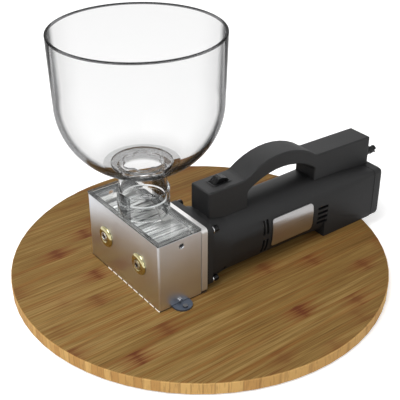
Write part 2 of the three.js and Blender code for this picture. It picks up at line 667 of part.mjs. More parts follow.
function makeHousing() {
  const flangeRear = housingFront + housing.flange;
  const flange = loft([sectionRing(flangeSection, housingFront), sectionRing(flangeSection, flangeRear)]);
  const noseSteps = 3;
  const noseRings = counted(noseSteps + 1, (index) => {
    const share = index / noseSteps;
    const ease = share * share * (3 - 2 * share);
    const y = THREE.MathUtils.lerp(flangeRear - overrun, bodyFront - seat, share);
    return sectionRing(blended(noseSection, bodySection, ease), y);
  });
  const channelEnd = housingFront + housing.channelEnd;
  const channels = flangeScrewPlaces.map(([x, z]) => rodY(
    housing.channelRadius, x, [flangeRear, channelEnd], z, smallFacets));
  const screwHoles = flangeScrewPlaces.map(([x, z]) => rodY(
    flangeScrew.radius + seat, x, [housingFront - overrun, flangeRear + overrun], z, smallFacets));
  return cut(
    join(flange, cut(loft(noseRings), channels)), screwHoles,
    rodY(coupling.radius + run, motorX, [housingFront - overrun, webFront], axisZ),
    rodY(ringRadius + seat, motorX, [housingFront + housing.wallFront, webFront], axisZ),
    rodY(ballBearing.radius + seat, motorX, [webFront + seat, bodyFront + overrun], axisZ),
    rodY(motorShaft.radius + run, motorX, [webFront - overrun, bodyFront], axisZ));
}
add('gear_housing', makeHousing(), blackPlastic);

function makeFlangeScrew([x, z]) {
  const headFront = housingFront + housing.flange + seat;
  const headRear = headFront + flangeScrew.headHeight;
  const head = rodY(flangeScrew.head, x, [headFront, headRear], z, smallFacets);
  const socketY = [headRear - flangeScrew.headHeight / 2, headRear + overrun];
  const socket = rodY(flangeScrew.socket, x, socketY, z, hexagonFacets);
  const shank = rodY(flangeScrew.radius, x, [backPlateFront + seat, headFront + seat], z, smallFacets);
  return cut(join(head, shank), socket);
}
flangeScrewPlaces.forEach((place, index) => add(
  `flange_screw_${index + 1}`, makeFlangeScrew(place), plateSteel));

// Planetary reduction: sun on the motor shaft, three planets, fixed ring, carrier to the roller
const gearSpan = [gearFront, gearFront + gears.width];
const planetCircle = gearRadius(gears.sun) + gearRadius(gears.planet);
const planetPlaces = counted(3, (index) => {
  const angle = (2 * Math.PI * index) / 3;
  return [...onCircle(planetCircle, angle, motorX, axisZ), angle];
});

function makeRingGear() {
  const rim = rodY(ringRadius, motorX, [gearSpan[0] - run / 2, gearSpan[1] + run / 2], axisZ);
  const pitchRadius = gearRadius(gears.ring);
  const teeth = gearOutline(gears.ring, pitchRadius + dedendum, pitchRadius - addendum, Math.PI / gears.ring);
  return cut(rim, extrudedY(
    polygon(movedTo(teeth, motorX, axisZ)), [gearSpan[0] - overrun, gearSpan[1] + overrun]));
}
add('ring_gear', makeRingGear(), darkSteel);

function makePlanet([x, z, angle]) {
  const pitchRadius = gearRadius(gears.planet);
  const phase = angle + Math.PI / gears.planet;
  const teeth = gearOutline(gears.planet, pitchRadius + addendum, pitchRadius - dedendum, phase);
  const wheel = extrudedY(polygon(movedTo(teeth, x, z)), gearSpan);
  const bore = rodY(carrier.pin + seat, x, [gearSpan[0] - overrun, gearSpan[1] + overrun], z, smallFacets);
  return cut(wheel, bore);
}
planetPlaces.forEach((place, index) => add(`planet_gear_${index + 1}`, makePlanet(place), nylon));

function makeCarrier() {
  const plateRear = carrierFront + carrier.plate;
  const plate = rodY(carrier.radius, motorX, [carrierFront, plateRear], axisZ, innerFacets);
  const stub = rodY(shaft.radius, motorX, [couplingMiddle + seat, plateRear - seat], axisZ, innerFacets);
  const pins = planetPlaces.map(([x, z]) => rodY(
    carrier.pin, x, [plateRear - seat, gearSpan[1]], z, smallFacets));
  return join(plate, stub, pins);
}
add('planet_carrier', makeCarrier(), darkSteel);

function makeCoupling() {
  const y = [couplingFront, carrierFront - seat];
  const sleeve = rodY(coupling.radius, motorX, y, axisZ, innerFacets);
  return cut(sleeve, rodY(shaft.radius + seat, motorX, [y[0] - overrun, y[1] + overrun], axisZ, innerFacets));
}
add('drive_coupling', makeCoupling(), darkSteel);

// Motor shaft with its sun pinion, and what turns with it
const sunRear = gearSpan[1] + run;
const shaftRear = bodyFront + motorShaft.rearEnd;

function makeMotorShaft() {
  const pitchRadius = gearRadius(gears.sun);
  const teeth = gearOutline(gears.sun, pitchRadius + addendum, pitchRadius - dedendum, 0);
  const pinion = extrudedY(polygon(movedTo(teeth, motorX, axisZ)), [gearSpan[0], sunRear]);
  return join(pinion, rodY(motorShaft.radius, motorX, [gearSpan[0], shaftRear], axisZ, smallFacets));
}
add('motor_shaft', makeMotorShaft(), darkSteel);

const onShaft = (y) => rodY(
  motorShaft.radius + seat, motorX, [y[0] - overrun, y[1] + overrun], axisZ, smallFacets);

function makeFan() {
  const y = [bodyFront + fan.start, bodyFront + fan.start + fan.length];
  const blades = counted(fan.blades, (index) => {
    const blade = block([fan.hub - seat, fan.radius], y, [-fan.blade / 2, fan.blade / 2]);
    return blade.rotate([0, (360 * index) / fan.blades, 0]).translate([motorX, 0, axisZ]);
  });
  const plate = rodY(fan.radius, motorX, [y[1] - fan.plate, y[1]], axisZ, innerFacets);
  return cut(join(plate, rodY(fan.hub, motorX, y, axisZ, innerFacets), blades), onShaft(y));
}
add('cooling_fan', makeFan(), nylon);

const coreSpan = [bodyFront + core.start, bodyFront + core.start + core.length];

function makeCore() {
  const drum = rodY(core.radius, motorX, coreSpan, axisZ, innerFacets);
  const slots = counted(core.slots, (index) => {
    const slot = block(
      [core.radius - core.slotDepth, core.radius + overrun], [coreSpan[0] - overrun, coreSpan[1] + overrun],
      [-core.slotWidth / 2, core.slotWidth / 2]);
    return slot.rotate([0, (360 * index) / core.slots, 0]).translate([motorX, 0, axisZ]);
  });
  return cut(drum, slots, onShaft(coreSpan));
}
add('armature_core', makeCore(), darkSteel);

function makeWindings() {
  const ring = (from, to) => {
    const bulge = (to - from) / 4;
    return turnedY([
      [windings.inner, from], [windings.outer - bulge, from], [windings.outer, from + bulge],
      [windings.outer, to - bulge], [windings.outer - bulge, to], [windings.inner, to],
    ], motorX, axisZ, innerFacets);
  };
  const bars = counted(core.slots, (index) => {
    const bar = block(
      [core.radius - core.slotDepth + seat, windings.outer - seat],
      [coreSpan[0] - 2 * seat, coreSpan[1] + 2 * seat],
      [-core.slotWidth / 2 + seat, core.slotWidth / 2 - seat]);
    return bar.rotate([0, (360 * index) / core.slots, 0]).translate([motorX, 0, axisZ]);
  });
  return join(
    ring(coreSpan[0] - seat - windings.length, coreSpan[0] - seat),
    ring(coreSpan[1] + seat, coreSpan[1] + seat + windings.length), bars);
}
add('armature_windings', makeWindings(), copper);

const commutatorSpan = [bodyFront + commutator.start, bodyFront + commutator.start + commutator.length];

function makeCommutator() {
  const drum = rodY(commutator.radius, motorX, commutatorSpan, axisZ, innerFacets);
  const slits = counted(commutator.bars, (index) => {
    const slit = block(
      [commutator.radius - commutator.slitDepth, commutator.radius + overrun],
      [commutatorSpan[0] - overrun, commutatorSpan[1] + overrun],
      [-commutator.slit / 2, commutator.slit / 2]);
    return slit.rotate([0, (360 * index) / commutator.bars, 0]).translate([motorX, 0, axisZ]);
  });
  return cut(drum, slits, onShaft(commutatorSpan));
}
add('commutator', makeCommutator(), copper);

// Ball bearings, in the housing's web and in the bearing bracket
function makeBearing(front) {
  const { radius, width, groove } = ballBearing;
  const rear = front + width;
  const bore = motorShaft.radius + seat;
  const ballFrom = bore + (radius - bore) / 3;
  const ballTo = radius - (radius - bore) / 3;
  return turnedY([
    [bore, front], [radius, front], [radius, rear],
    [ballTo, rear], [ballTo, rear - groove], [ballFrom, rear - groove], [ballFrom, rear], [bore, rear],
  ], motorX, axisZ, innerFacets);
}
add('front_bearing', makeBearing(webFront + 2 * seat), plateSteel);
add('rear_bearing', makeBearing(bodyFront + ballBearing.rearStart), plateSteel);

// Field: a ring with an upper and a lower pole, and the coils that pass between the poles
function poleOutline(radius, gap) {
  const reach = 2 * Math.PI * poleShare;
  const arc = counted(poleSteps + 1, (step) => onCircle(
    radius, Math.PI / 2 - reach / 2 + (reach * step) / poleSteps, motorX, axisZ));
  const side = gap / Math.cos(reach / 2);
  return polygon([[motorX, axisZ - side], ...arc]);
}

function poles(radius, gap, y) {
  const upper = extrudedY(poleOutline(radius, gap), y);
  const lower = upper.translate([-motorX, 0, -axisZ]).rotate([0, 180, 0]).translate([motorX, 0, axisZ]);
  return join(upper, lower);
}

function makeStator() {
  const cutSpan = [coreSpan[0] - overrun, coreSpan[1] + overrun];
  const ring = cut(
    rodY(stator.outer, motorX, coreSpan, axisZ, innerFacets),
    rodY(stator.inner, motorX, cutSpan, axisZ, innerFacets));
  const bore = rodY(stator.bore, motorX, cutSpan, axisZ, innerFacets);
  return cut(join(ring, poles(stator.inner + seat, 0, coreSpan)), bore);
}
add('stator_core', makeStator(), darkSteel);

function makeFieldCoils() {
  const span = [coreSpan[0] - coil.overhang, coreSpan[1] + coil.overhang];
  const sleeve = cut(
    rodY(coil.outer, motorX, span, axisZ, innerFacets),
    rodY(coil.inner, motorX, [span[0] - overrun, span[1] + overrun], axisZ, innerFacets));
  return cut(sleeve, poles(coil.outer + overrun, coil.poleGap, [coreSpan[0] - seat, coreSpan[1] + seat]));
}
add('field_coils', makeFieldCoils(), copper);

// Bearing bracket behind the commutator, shaped to the body's inside
const bodySectionAt = (along) => blended(
  bodySection, tailSection,
  Math.max(0, (along - body.roundEnd) / (body.length - body.roundEnd)) ** bodyEasePower);

function makeBracket() {
  const inset = body.wall + seat;
  const ring = (along) => sectionRing(bodySectionAt(along), bodyFront + along, inset);
  const plate = loft([ring(bracket.start), ring(bracket.start + bracket.thickness)]);
  const cutY = [bodyFront + bracket.start - overrun, bodyFront + bracket.start + bracket.thickness + overrun];
  const vents = counted(bracket.vents, (index) => {
    const [x, z] = onCircle(bracket.ventCircle, (2 * Math.PI * index) / bracket.vents, motorX, axisZ);
    return rodY(bracket.ventRadius, x, cutY, z, smallFacets);
  });
  return cut(plate, vents, rodY(ballBearing.radius + seat, motorX, cutY, axisZ));
}
add('bearing_bracket', makeBracket(), nylon);

// Brush yoke: a ring inside the body with a brush box on each side of the commutator
const brushSpan = [bodyFront + brush.start, bodyFront + brush.start + brush.width];
const brushStart = commutator.radius + seat;
function makeBrushYoke() {
  const wall = brush.boxWall + seat;
  const y = [brushSpan[0] - wall, brushSpan[1] + wall];
  const cutY = [y[0] - overrun, y[1] + overrun];
  const reach = brush.height / 2 + seat;
  const boxes = sides.map((side) => block(
    between(motorX + side * (brushStart + 2 * wall), motorX + side * (brush.yokeRadius - wall)), y,
    [axisZ - reach - brush.boxWall, axisZ + reach + brush.boxWall]));
  const ring = cut(
    rodY(brush.yokeRadius, motorX, y, axisZ, innerFacets),
    rodY(brush.yokeRadius - brush.yokeWall, motorX, cutY, axisZ, innerFacets));
  const slot = block(
    [motorX - brush.yokeRadius - overrun, motorX + brush.yokeRadius + overrun],
    [brushSpan[0] - seat, brushSpan[1] + seat], [axisZ - reach, axisZ + reach]);
  return cut(join(ring, boxes), slot);
}
add('brush_yoke', makeBrushYoke(), nylon);

function makeBrush(side) {
  const start = motorX + side * brushStart;
  return block(
    between(start, start + side * brush.length), brushSpan,
    [axisZ - brush.height / 2, axisZ + brush.height / 2]);
}
sides.forEach((side, index) => add(`carbon_brush_${index + 1}`, makeBrush(side), carbon));

// Motor body: one tube that turns from round to square, with a foot under its rear half
const bodyStationShares = [0.5, 0.62, 0.74, 0.87];
const bodyStations = bodyStationShares.map((share) => share * body.length);

function bodyLoft(inset, from = 0, to = body.length, past = 0) {
  const alongs = [from, ...bodyStations.filter((along) => along > from && along < to), to];
  const rings = alongs.map((along) => sectionRing(bodySectionAt(along), bodyFront + along, inset));
  rings[0].forEach((point) => point.setY(point.y - past));
  rings[rings.length - 1].forEach((point) => point.setY(point.y + past));
  return loft(rings);
}

function makeVents() {
  const reach = [motorX + body.footHalf / 2, motorX + body.footHalf + overrun];
  const upright = [0, 1].flatMap((column) => frontVents.heights.map(([low, high]) => {
    const start = bodyFront + frontVents.start + column * frontVents.pitch;
    return block(reach, [start, start + frontVents.width], [boardTop + low, boardTop + high]);
  }));
  const level = counted(rearVents.count, (row) => {
    const top = boardTop + rearVents.top - row * rearVents.pitch;
    const start = bodyFront + rearVents.start;
    return block(reach, [start, start + rearVents.length], [top - rearVents.width, top]);
  });
  return [...upright, ...level];
}

const mirrored = (solid) => solid.translate([-motorX, 0, 0]).mirror([1, 0, 0]).translate([motorX, 0, 0]);
const tailScrewHeights = [tailSection.top - tail.screwInset, tailSection.bottom + tail.screwInset];
const tailScrewPlaces = sides.map((side, index) => [
  motorX + side * (tailSection.half - tail.screwInset), boardTop + tailScrewHeights[index],
]);

function makeBody() {
  const foot = (inset, y) => block(
    [motorX - body.footHalf + inset, motorX + body.footHalf - inset], y,
    [boardTop + body.footBottom + inset, boardTop + body.footTop]);
  const footFront = bodyFront + body.footStart;
  const outer = join(bodyLoft(0), foot(0, [footFront, bodyRear]));
  const inner = join(
    bodyLoft(body.wall, 0, body.length, overrun),
    foot(body.wall, [footFront + body.wall, bodyRear + overrun]));
  const bossFront = bodyRear - 4 * tail.screwHead;
  const bosses = tailScrewPlaces.map(([x, z]) => rodY(
    tail.screwHead + body.wall, x, [bossFront, bodyRear], z, smallFacets));
  const filled = join(cut(outer, inner), join(bosses).intersect(outer));
  const screwHoles = tailScrewPlaces.map(([x, z]) => rodY(
    tail.screwRadius + seat, x, [bossFront - overrun, bodyRear + overrun], z, smallFacets));
  const vents = makeVents();
  return cut(filled, screwHoles, vents, vents.map(mirrored));
}
add('motor_body', makeBody(), blackPlastic);

// End plate over the body's rear, hollow inside, with a screw in two of its corners
function makeTail() {
  const ring = (y, inset) => sectionRing(tailSection, y, inset);
  const outer = loft([
    ring(tailFront, -tail.proud), ring(tailRear - tail.skin, -tail.proud), ring(tailRear, tail.proud),
  ]);
  const hollow = loft([ring(tailFront - overrun, tail.skin), ring(tailRear - tail.skin, tail.skin)]);
  const cutY = [tailFront - overrun, tailRear + overrun];
  const bosses = tailScrewPlaces.map(([x, z]) => rodY(
    tail.screwHead + tail.skin, x, [tailFront, tailRear - seat], z, smallFacets));
  return cut(
    join(cut(outer, hollow), join(bosses).intersect(outer)),
    tailScrewPlaces.map(([x, z]) => rodY(tail.screwRadius + seat, x, cutY, z, smallFacets)),
    tailScrewPlaces.map(([x, z]) => rodY(
      tail.screwHead + seat, x, [tailRear - tail.skin, tailRear + overrun], z, smallFacets)));
}
add('end_plate', makeTail(), blackPlastic);

function makeTailScrew([x, z]) {
  const headFront = tailRear - tail.skin + seat;
  const head = rodY(tail.screwHead, x, [headFront, tailRear - seat], z, smallFacets);
  const shank = rodY(tail.screwRadius, x, [bodyRear - 3 * tail.screwHead, headFront + seat], z, smallFacets);
  return join(head, shank);
}
tailScrewPlaces.forEach((place, index) => add(
  `end_plate_screw_${index + 1}`, makeTailScrew(place), darkSteel));

// Label plate, curved to the side of the body
function makeLabel() {
  const start = bodyFront + label.start;
  const outline = roundedRectangle(
    [start, boardTop + label.low], [start + label.length, boardTop + label.high], label.corner);
  const band = cut(
    bodyLoft(-seat - label.thickness, label.start - overrun, label.start + label.length + overrun),
    bodyLoft(-seat, label.start - 2 * overrun, label.start + label.length + 2 * overrun));
  return band.intersect(extrudedX(outline, [motorX + bodySection.half / 2, motorX + 2 * bodySection.half]));
}
add('label_plate', makeLabel(), labelMetal);

// Handle: two hollow halves over the body, with a switch block, an arch and a rear block
function handleArc(radius, topZ, from, to, inset) {
  const middleY = bodyFront + handle.archMiddle;
  const middleZ = boardTop + topZ - radius;
  const reach = radius + inset;
  return counted(archSteps + 1, (step) => {
    const y = THREE.MathUtils.lerp(from, to, step / archSteps);
    return [y, middleZ + Math.sqrt(reach ** 2 - (y - middleY) ** 2)];
  });
}

// Where the arch's outer circle passes a height, before or behind its middle
function archCrossing(height, side, inset) {
  const up = height - inset - (handle.archTop - handle.archRadius);
  const reach = handle.archRadius - inset;
  return bodyFront + handle.archMiddle + side * Math.sqrt(reach ** 2 - up ** 2);
}

function handleOutline(inset) {
  const front = bodyFront + handle.front + inset;
  const rear = handleRear - inset;
  const bottom = boardTop + handle.bottom + (inset > 0 ? -overrun : 0);
  const holeFront = bodyFront + handle.holeFront - inset;
  const holeRear = bodyFront + handle.holeRear + inset;
  const archStart = archCrossing(handle.blockTop, -1, inset);
  const archEnd = archCrossing(handle.rearTop, 1, inset);
  return polygon([
    [front, bottom], [front, boardTop + handle.blockTop - inset],
    ...handleArc(handle.archRadius, handle.archTop, archStart, archEnd, -inset),
    [rear, boardTop + handle.rearEndTop - inset], [rear, bottom], [holeRear, bottom],
    ...handleArc(handle.holeRadius, handle.holeTop, holeRear, holeFront, inset),
    [holeFront, bottom],
  ]);
}

const screwPlaces = handleScrewPlaces.map(([along, height]) => [bodyFront + along, boardTop + height]);
const switchY = bodyFront + rocker.middle;
const switchTop = boardTop + handle.blockTop;
const glandZ = boardTop + gland.height;

// What the handle leaves free: the body, the housing, the end plate, the switch and the gland
function handleCuts() {
  const noseCut = loft([0, 0.5, 1].map((share) => sectionRing(
    blended(noseSection, bodySection, share * share * (3 - 2 * share)),
    THREE.MathUtils.lerp(housingFront + housing.flange - overrun, bodyFront, share), -seat)));
  const tailCut = loft([
    sectionRing(tailSection, bodyRear - overrun, -seat - tail.proud),
    sectionRing(tailSection, tailRear + overrun, -seat - tail.proud),
  ]);
  const switchCut = block(
    [motorX - rocker.width / 2 - seat, motorX + rocker.width / 2 + seat],
    [switchY - rocker.length / 2 - seat, switchY + rocker.length / 2 + seat],
    [switchTop - rocker.depth, switchTop + overrun]);
  const glandCut = rodY(
    gland.neck + seat, motorX, [handleRear - handle.wall - overrun, handleRear + overrun], glandZ);
  return [bodyLoft(-seat), noseCut, tailCut, switchCut, glandCut];
}

function makeHandleHalf(side) {
  const outerX = motorX + side * handle.half;
  const splitX = motorX + (side * handle.split) / 2;
  const skin = cut(
    extrudedX(handleOutline(0), between(splitX, outerX)),
    extrudedX(handleOutline(handle.wall), between(splitX - side * overrun, outerX - side * handle.wall)));
  const bossX = between(splitX, outerX - side * seat);
  const bosses = screwPlaces.map(([y, z]) => rodX(handleScrew.boss, bossX, y, z));
  const bore = handleScrew.radius + seat;
  const headDepth = handleScrew.headHeight + seat;
  const holes = screwPlaces.flatMap(([y, z]) => (side < 0
    ? [
      rodX(bore, [outerX - overrun, splitX + overrun], y, z),
      rodX(handleScrew.head + seat, [outerX - overrun, outerX + headDepth], y, z),
    ]
    : [rodX(bore, [splitX - overrun, splitX + handleScrew.reach + seat], y, z)]));
  return cut(join(skin, bosses), holes, handleCuts());
}
add('handle_left', makeHandleHalf(-1), blackPlastic);
add('handle_right', makeHandleHalf(1), blackPlastic);

function makeHandleScrew([y, z]) {
  const start = motorX - handle.half;
  const head = rodX(handleScrew.head, [start, start + handleScrew.headHeight], y, z);
  return join(head, rodX(handleScrew.radius, [start + seat, motorX + handleScrew.reach], y, z));
}
screwPlaces.forEach((place, index) => add(`handle_screw_${index + 1}`, makeHandleScrew(place), darkSteel));

// Rocker switch: a body with a bezel on the handle, and the rocker in its pocket
const rockerHalf = rocker.length / 2 - rocker.bezel / 2;
const pivotZ = switchTop - rocker.pivotSink;

function makeSwitchBody() {
  const stem = block(
    [motorX - rocker.width / 2, motorX + rocker.width / 2],
    [switchY - rocker.length / 2, switchY + rocker.length / 2],
    [switchTop - rocker.depth, switchTop + seat + rocker.bezelHeight]);
  const reachX = rocker.width / 2 + rocker.bezel / 2;
  const reachY = rocker.length / 2 + rocker.bezel / 2;
  const bezel = block(
    [motorX - reachX, motorX + reachX], [switchY - reachY, switchY + reachY],
    [switchTop + seat, switchTop + seat + rocker.bezelHeight]);
  const pocket = block(
    [motorX - rocker.width / 2 + rocker.bezel / 2, motorX + rocker.width / 2 - rocker.bezel / 2],
    [switchY - rockerHalf, switchY + rockerHalf],
    [switchTop - rocker.pocket, switchTop + overrun]);
  return cut(join(stem, bezel), pocket);
}
add('switch_body', makeSwitchBody(), switchPlastic);

function makeRocker() {
  const reach = rockerHalf - rocker.rockerGap - rocker.dip;
  const low = -rocker.belly;
  const outline = polygon([
    [-reach, low / 2], [-reach / 2, low], [reach / 2, low], [reach, low / 2],
    [reach, rocker.rise], [0, rocker.belly - rocker.dip / 2], [-reach, rocker.rise],
  ]);
  const halfWidth = rocker.width / 2 - rocker.bezel / 2 - rocker.rockerGap;
  const lever = extrudedX(outline, [-halfWidth, halfWidth]);
  return lever.rotate([rocker.tilt, 0, 0]).translate([motorX, switchY, pivotZ]);
}
add('switch_rocker', makeRocker(), switchPlastic);

// Cord gland at the handle's rear, with ribs and a notched end
function makeGland() {
  const inner = handleRear - handle.wall - seat;
  const outer = handleRear + seat;
  const end = handleRear + gland.length;
  const ribPitch = (end - outer - gland.notch) / (gland.ribs + 0.5);
  const ribs = counted(gland.ribs, (index) => {
    const start = outer + (index + 0.5) * ribPitch;
    const taper = THREE.MathUtils.lerp(gland.neck, gland.tip, (start - outer) / (end - outer));
    return [
      [taper, start], [taper + gland.ribHeight, start + ribPitch / 4],
      [taper + gland.ribHeight, start + ribPitch / 2],
      [taper - gland.ribHeight / 2, start + (3 * ribPitch) / 4],
    ];
  }).flat();
  const boot = turnedY([
    [gland.boreRadius, inner - gland.collarLength], [gland.collar, inner - gland.collarLength],
    [gland.collar, inner], [gland.neck, inner], [gland.neck, outer], ...ribs,
    [gland.tip, end - gland.notch], [gland.tip + gland.ribHeight, end], [gland.boreRadius, end],
  ], motorX, glandZ, smallFacets);
  const notch = extrudedX(polygon([
    [end - gland.notch, glandZ], [end + overrun, glandZ + gland.tip], [end + overrun, glandZ - gland.tip],
  ]), [motorX - 2 * gland.tip, motorX + 2 * gland.tip]);
  return cut(boot, notch);
}
add('cord_gland', makeGland(), switchPlastic);

// Terminal block inside the rear block, resting on the motor body
function makeTerminal() {
  const [bossY] = screwPlaces[1];
  const y = [
    bossY + handleScrew.boss + terminal.bossGap,
    handleRear - handle.wall - gland.collarLength - terminal.glandGap,
  ];
  const top = boardTop + handle.rearEndTop - handle.wall - seat;
  const piece = block(
    [motorX - terminal.half, motorX + terminal.half], y, [top - terminal.height, top]);
  return cut(piece, bodyLoft(-seat));
}
add('terminal_block', makeTerminal(), nylon);

export default mill;
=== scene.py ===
# %% [markdown]
# # A grain mill on its board
#
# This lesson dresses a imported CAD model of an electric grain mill: a steel mill box, a clear
# hopper, a black geared motor with a carrying handle, and a round bamboo board under them.
# The CAD gives every place and size. Blender adds smooth forms, soft edges and finishes.

# %% Load the frame
import json
import math

import bmesh
import bpy
from mathutils import Matrix, Vector


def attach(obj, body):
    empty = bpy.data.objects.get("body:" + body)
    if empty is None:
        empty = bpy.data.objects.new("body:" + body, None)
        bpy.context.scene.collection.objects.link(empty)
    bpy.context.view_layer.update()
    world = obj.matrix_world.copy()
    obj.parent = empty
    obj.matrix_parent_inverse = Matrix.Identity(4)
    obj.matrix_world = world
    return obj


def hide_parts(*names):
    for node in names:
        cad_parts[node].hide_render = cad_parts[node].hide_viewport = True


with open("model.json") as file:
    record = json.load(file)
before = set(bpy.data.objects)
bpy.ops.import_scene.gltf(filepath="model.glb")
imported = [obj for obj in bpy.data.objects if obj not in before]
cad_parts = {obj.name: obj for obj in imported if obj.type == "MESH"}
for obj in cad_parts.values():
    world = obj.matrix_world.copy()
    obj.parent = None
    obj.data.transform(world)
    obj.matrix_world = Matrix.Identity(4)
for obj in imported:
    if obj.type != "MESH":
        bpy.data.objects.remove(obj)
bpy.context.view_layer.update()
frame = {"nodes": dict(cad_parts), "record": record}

# %% [markdown]
# ## Which body and which finish a node belongs to
#
# The record lists the bodies that move and the material slot of each node. Reading both once
# lets every later call take a node's name only, so no piece can end up on the wrong body.

# %% Look up bodies and slots
record = frame["record"]
body_of_node = {
    node: body for body, nodes in record["behaviour"]["bodies"].items() for node in nodes
}
slot_of_node = {part["node"]: part["material_slot"] for part in record["subparts"]}

# %% [markdown]
# ## Places that many pieces share
#
# The motor, the driven roller, the handle and the switch lie in one upright plane, and the
# idler roller beside it, a little higher. Sizes are in millimetres, as on a drawing, and
# scaled to Blender's metres where they are used.

# %% Name the shared places
MM = 0.001
DRIVE_X, IDLER_X = 24.5, -36.5
AXIS_Z, IDLER_RISE = 53.0, 1.0
HOPPER_AXIS = (-4.0, -66.3)
LID_CENTRE, LID_HALF, LID_FRAME = (-5.5, -67.5), (64.0, 25.2), 3.4
CORNERS = ((1, 1), (-1, 1), (1, -1), (-1, -1))
print("roller axes", DRIVE_X - IDLER_X, "mm apart")

# %% [markdown]
# ## The camera
#
# The photograph looks down at the mill from the right of its front, about nine tenths of a
# metre away. The camera's place and axes come from fitting the board's round outline and the
# corners of the mill box.

# %% Place the camera
CAMERA_PLACE = Vector((0.588, -0.4412, 0.5161))
CAMERA_AXES = Matrix((  # its right, its up and its back
    (0.6001, 0.7999, 0.0), (-0.40755, 0.30575, 0.8605), (0.688265, -0.516453, 0.509478)))
FOCAL_LENGTH = 74.2  # for the usual 36 mm sensor


def add_object(name, data):
    thing = bpy.data.objects.new(name, data)
    bpy.context.scene.collection.objects.link(thing)
    return thing


camera_data = bpy.data.cameras.new("photo_camera")
camera_data.lens = FOCAL_LENGTH
camera = add_object("photo_camera", camera_data)
camera.matrix_world = Matrix.Translation(CAMERA_PLACE) @ CAMERA_AXES.transposed().to_4x4()
bpy.context.scene.camera = camera
print("camera at", tuple(camera.matrix_world.translation))

# %% [markdown]
# ## Shader maths as Python
#
# A finish is a small program: stretched noise, a mask round a stain, a colour between two
# others. Here one class wraps a socket, so that `1 - mask * 0.5` adds the two Math nodes.

# %% A socket that can be added and multiplied
def operator(operation):
    """The methods for value + other and for other + value, as a Math node."""

    def plain(value, other):
        return value.tree.math(operation, value, other)

    def reflected(value, other):
        return value.tree.math(operation, other, value)

    return plain, reflected


class Value:
    """A number or colour that varies: one output socket in a tree of nodes."""

    __add__, __radd__ = operator("ADD")
    __sub__, __rsub__ = operator("SUBTRACT")
    __mul__, __rmul__ = operator("MULTIPLY")
    __truediv__, __rtruediv__ = operator("DIVIDE")
    __pow__, __rpow__ = operator("POWER")

    def __init__(self, tree, socket):
        self.tree = tree
        self.socket = socket

    def math(self, operation, *others):
        """A Math node with this value in its first socket."""
        return self.tree.math(operation, self, *others)

    def size(self):
        return self.math("ABSOLUTE")

    def step(self, low, high):
        """0 below low and 1 above high, with a soft change between them."""
        return self.tree.node(
            "ShaderNodeMapRange", {"interpolation_type": "SMOOTHSTEP"},
            {"Value": self, "From Min": low, "From Max": high})


print("values take + - * / and **")

# %% [markdown]
# ## One call for every other node
#
# A texture or a mix has too many sockets for an operator, so one method adds any node. Settings
# come first, because a Mix node only shows its colour sockets once it is told to mix colours.

# %% A tree that takes nodes
class NodeTree:
    """The nodes of a material or of the world."""

    def __init__(self, tree):
        self.nodes = tree.nodes
        self.links = tree.links

    def feed(self, target, value):
        """Gives a socket a link, a colour or a number."""
        if isinstance(value, Value):
            self.links.new(value.socket, target)
        elif isinstance(value, tuple) and len(value) == 3 and len(target.default_value) == 4:
            target.default_value = (*value, 1.0)
        else:
            target.default_value = value

    def node(self, kind, settings, sockets, output=0):
        """Adds a node of any kind: its settings first, then its sockets."""
        node = self.nodes.new(kind)
        for name, value in settings.items():
            if name == "stops":
                set_stops(node.color_ramp, value)
            elif name == "interpolation":
                node.color_ramp.interpolation = value
            else:
                setattr(node, name, value)
        for name, value in sockets.items():
            self.feed(node.inputs[name], value)
        return Value(self, node.outputs[output])

    def math(self, operation, *values):
        return self.node("ShaderNodeMath", {"operation": operation}, dict(enumerate(values)))

    def ray(self, kind):
        """1 for the rays of a kind, such as Camera or Shadow, and 0 for all others."""
        return self.node("ShaderNodeLightPath", {}, {}, f"Is {kind} Ray")


def set_stops(ramp, stops):
    while len(ramp.elements) < len(stops):
        ramp.elements.new(1.0)
    for element, (place, colour) in zip(ramp.elements, stops):
        element.position = place
        element.color = (*colour, 1.0)


print("node trees ready")

# %% [markdown]
# ## A finish
#
# Every finish is one material with one Principled shader. It starts from a point's place on
# the object, in metres, so a texture keeps its real size and no piece has to be unwrapped.

# %% A material and its usual nodes
SOCKETS = {
    "base_color": "Base Color", "roughness": "Roughness", "metallic": "Metallic", "ior": "IOR",
    "coat": "Coat Weight", "coat_roughness": "Coat Roughness", "specular": "Specular IOR Level",
    "transmission": "Transmission Weight", "glow": "Emission Strength",
    "glow_color": "Emission Color",
}


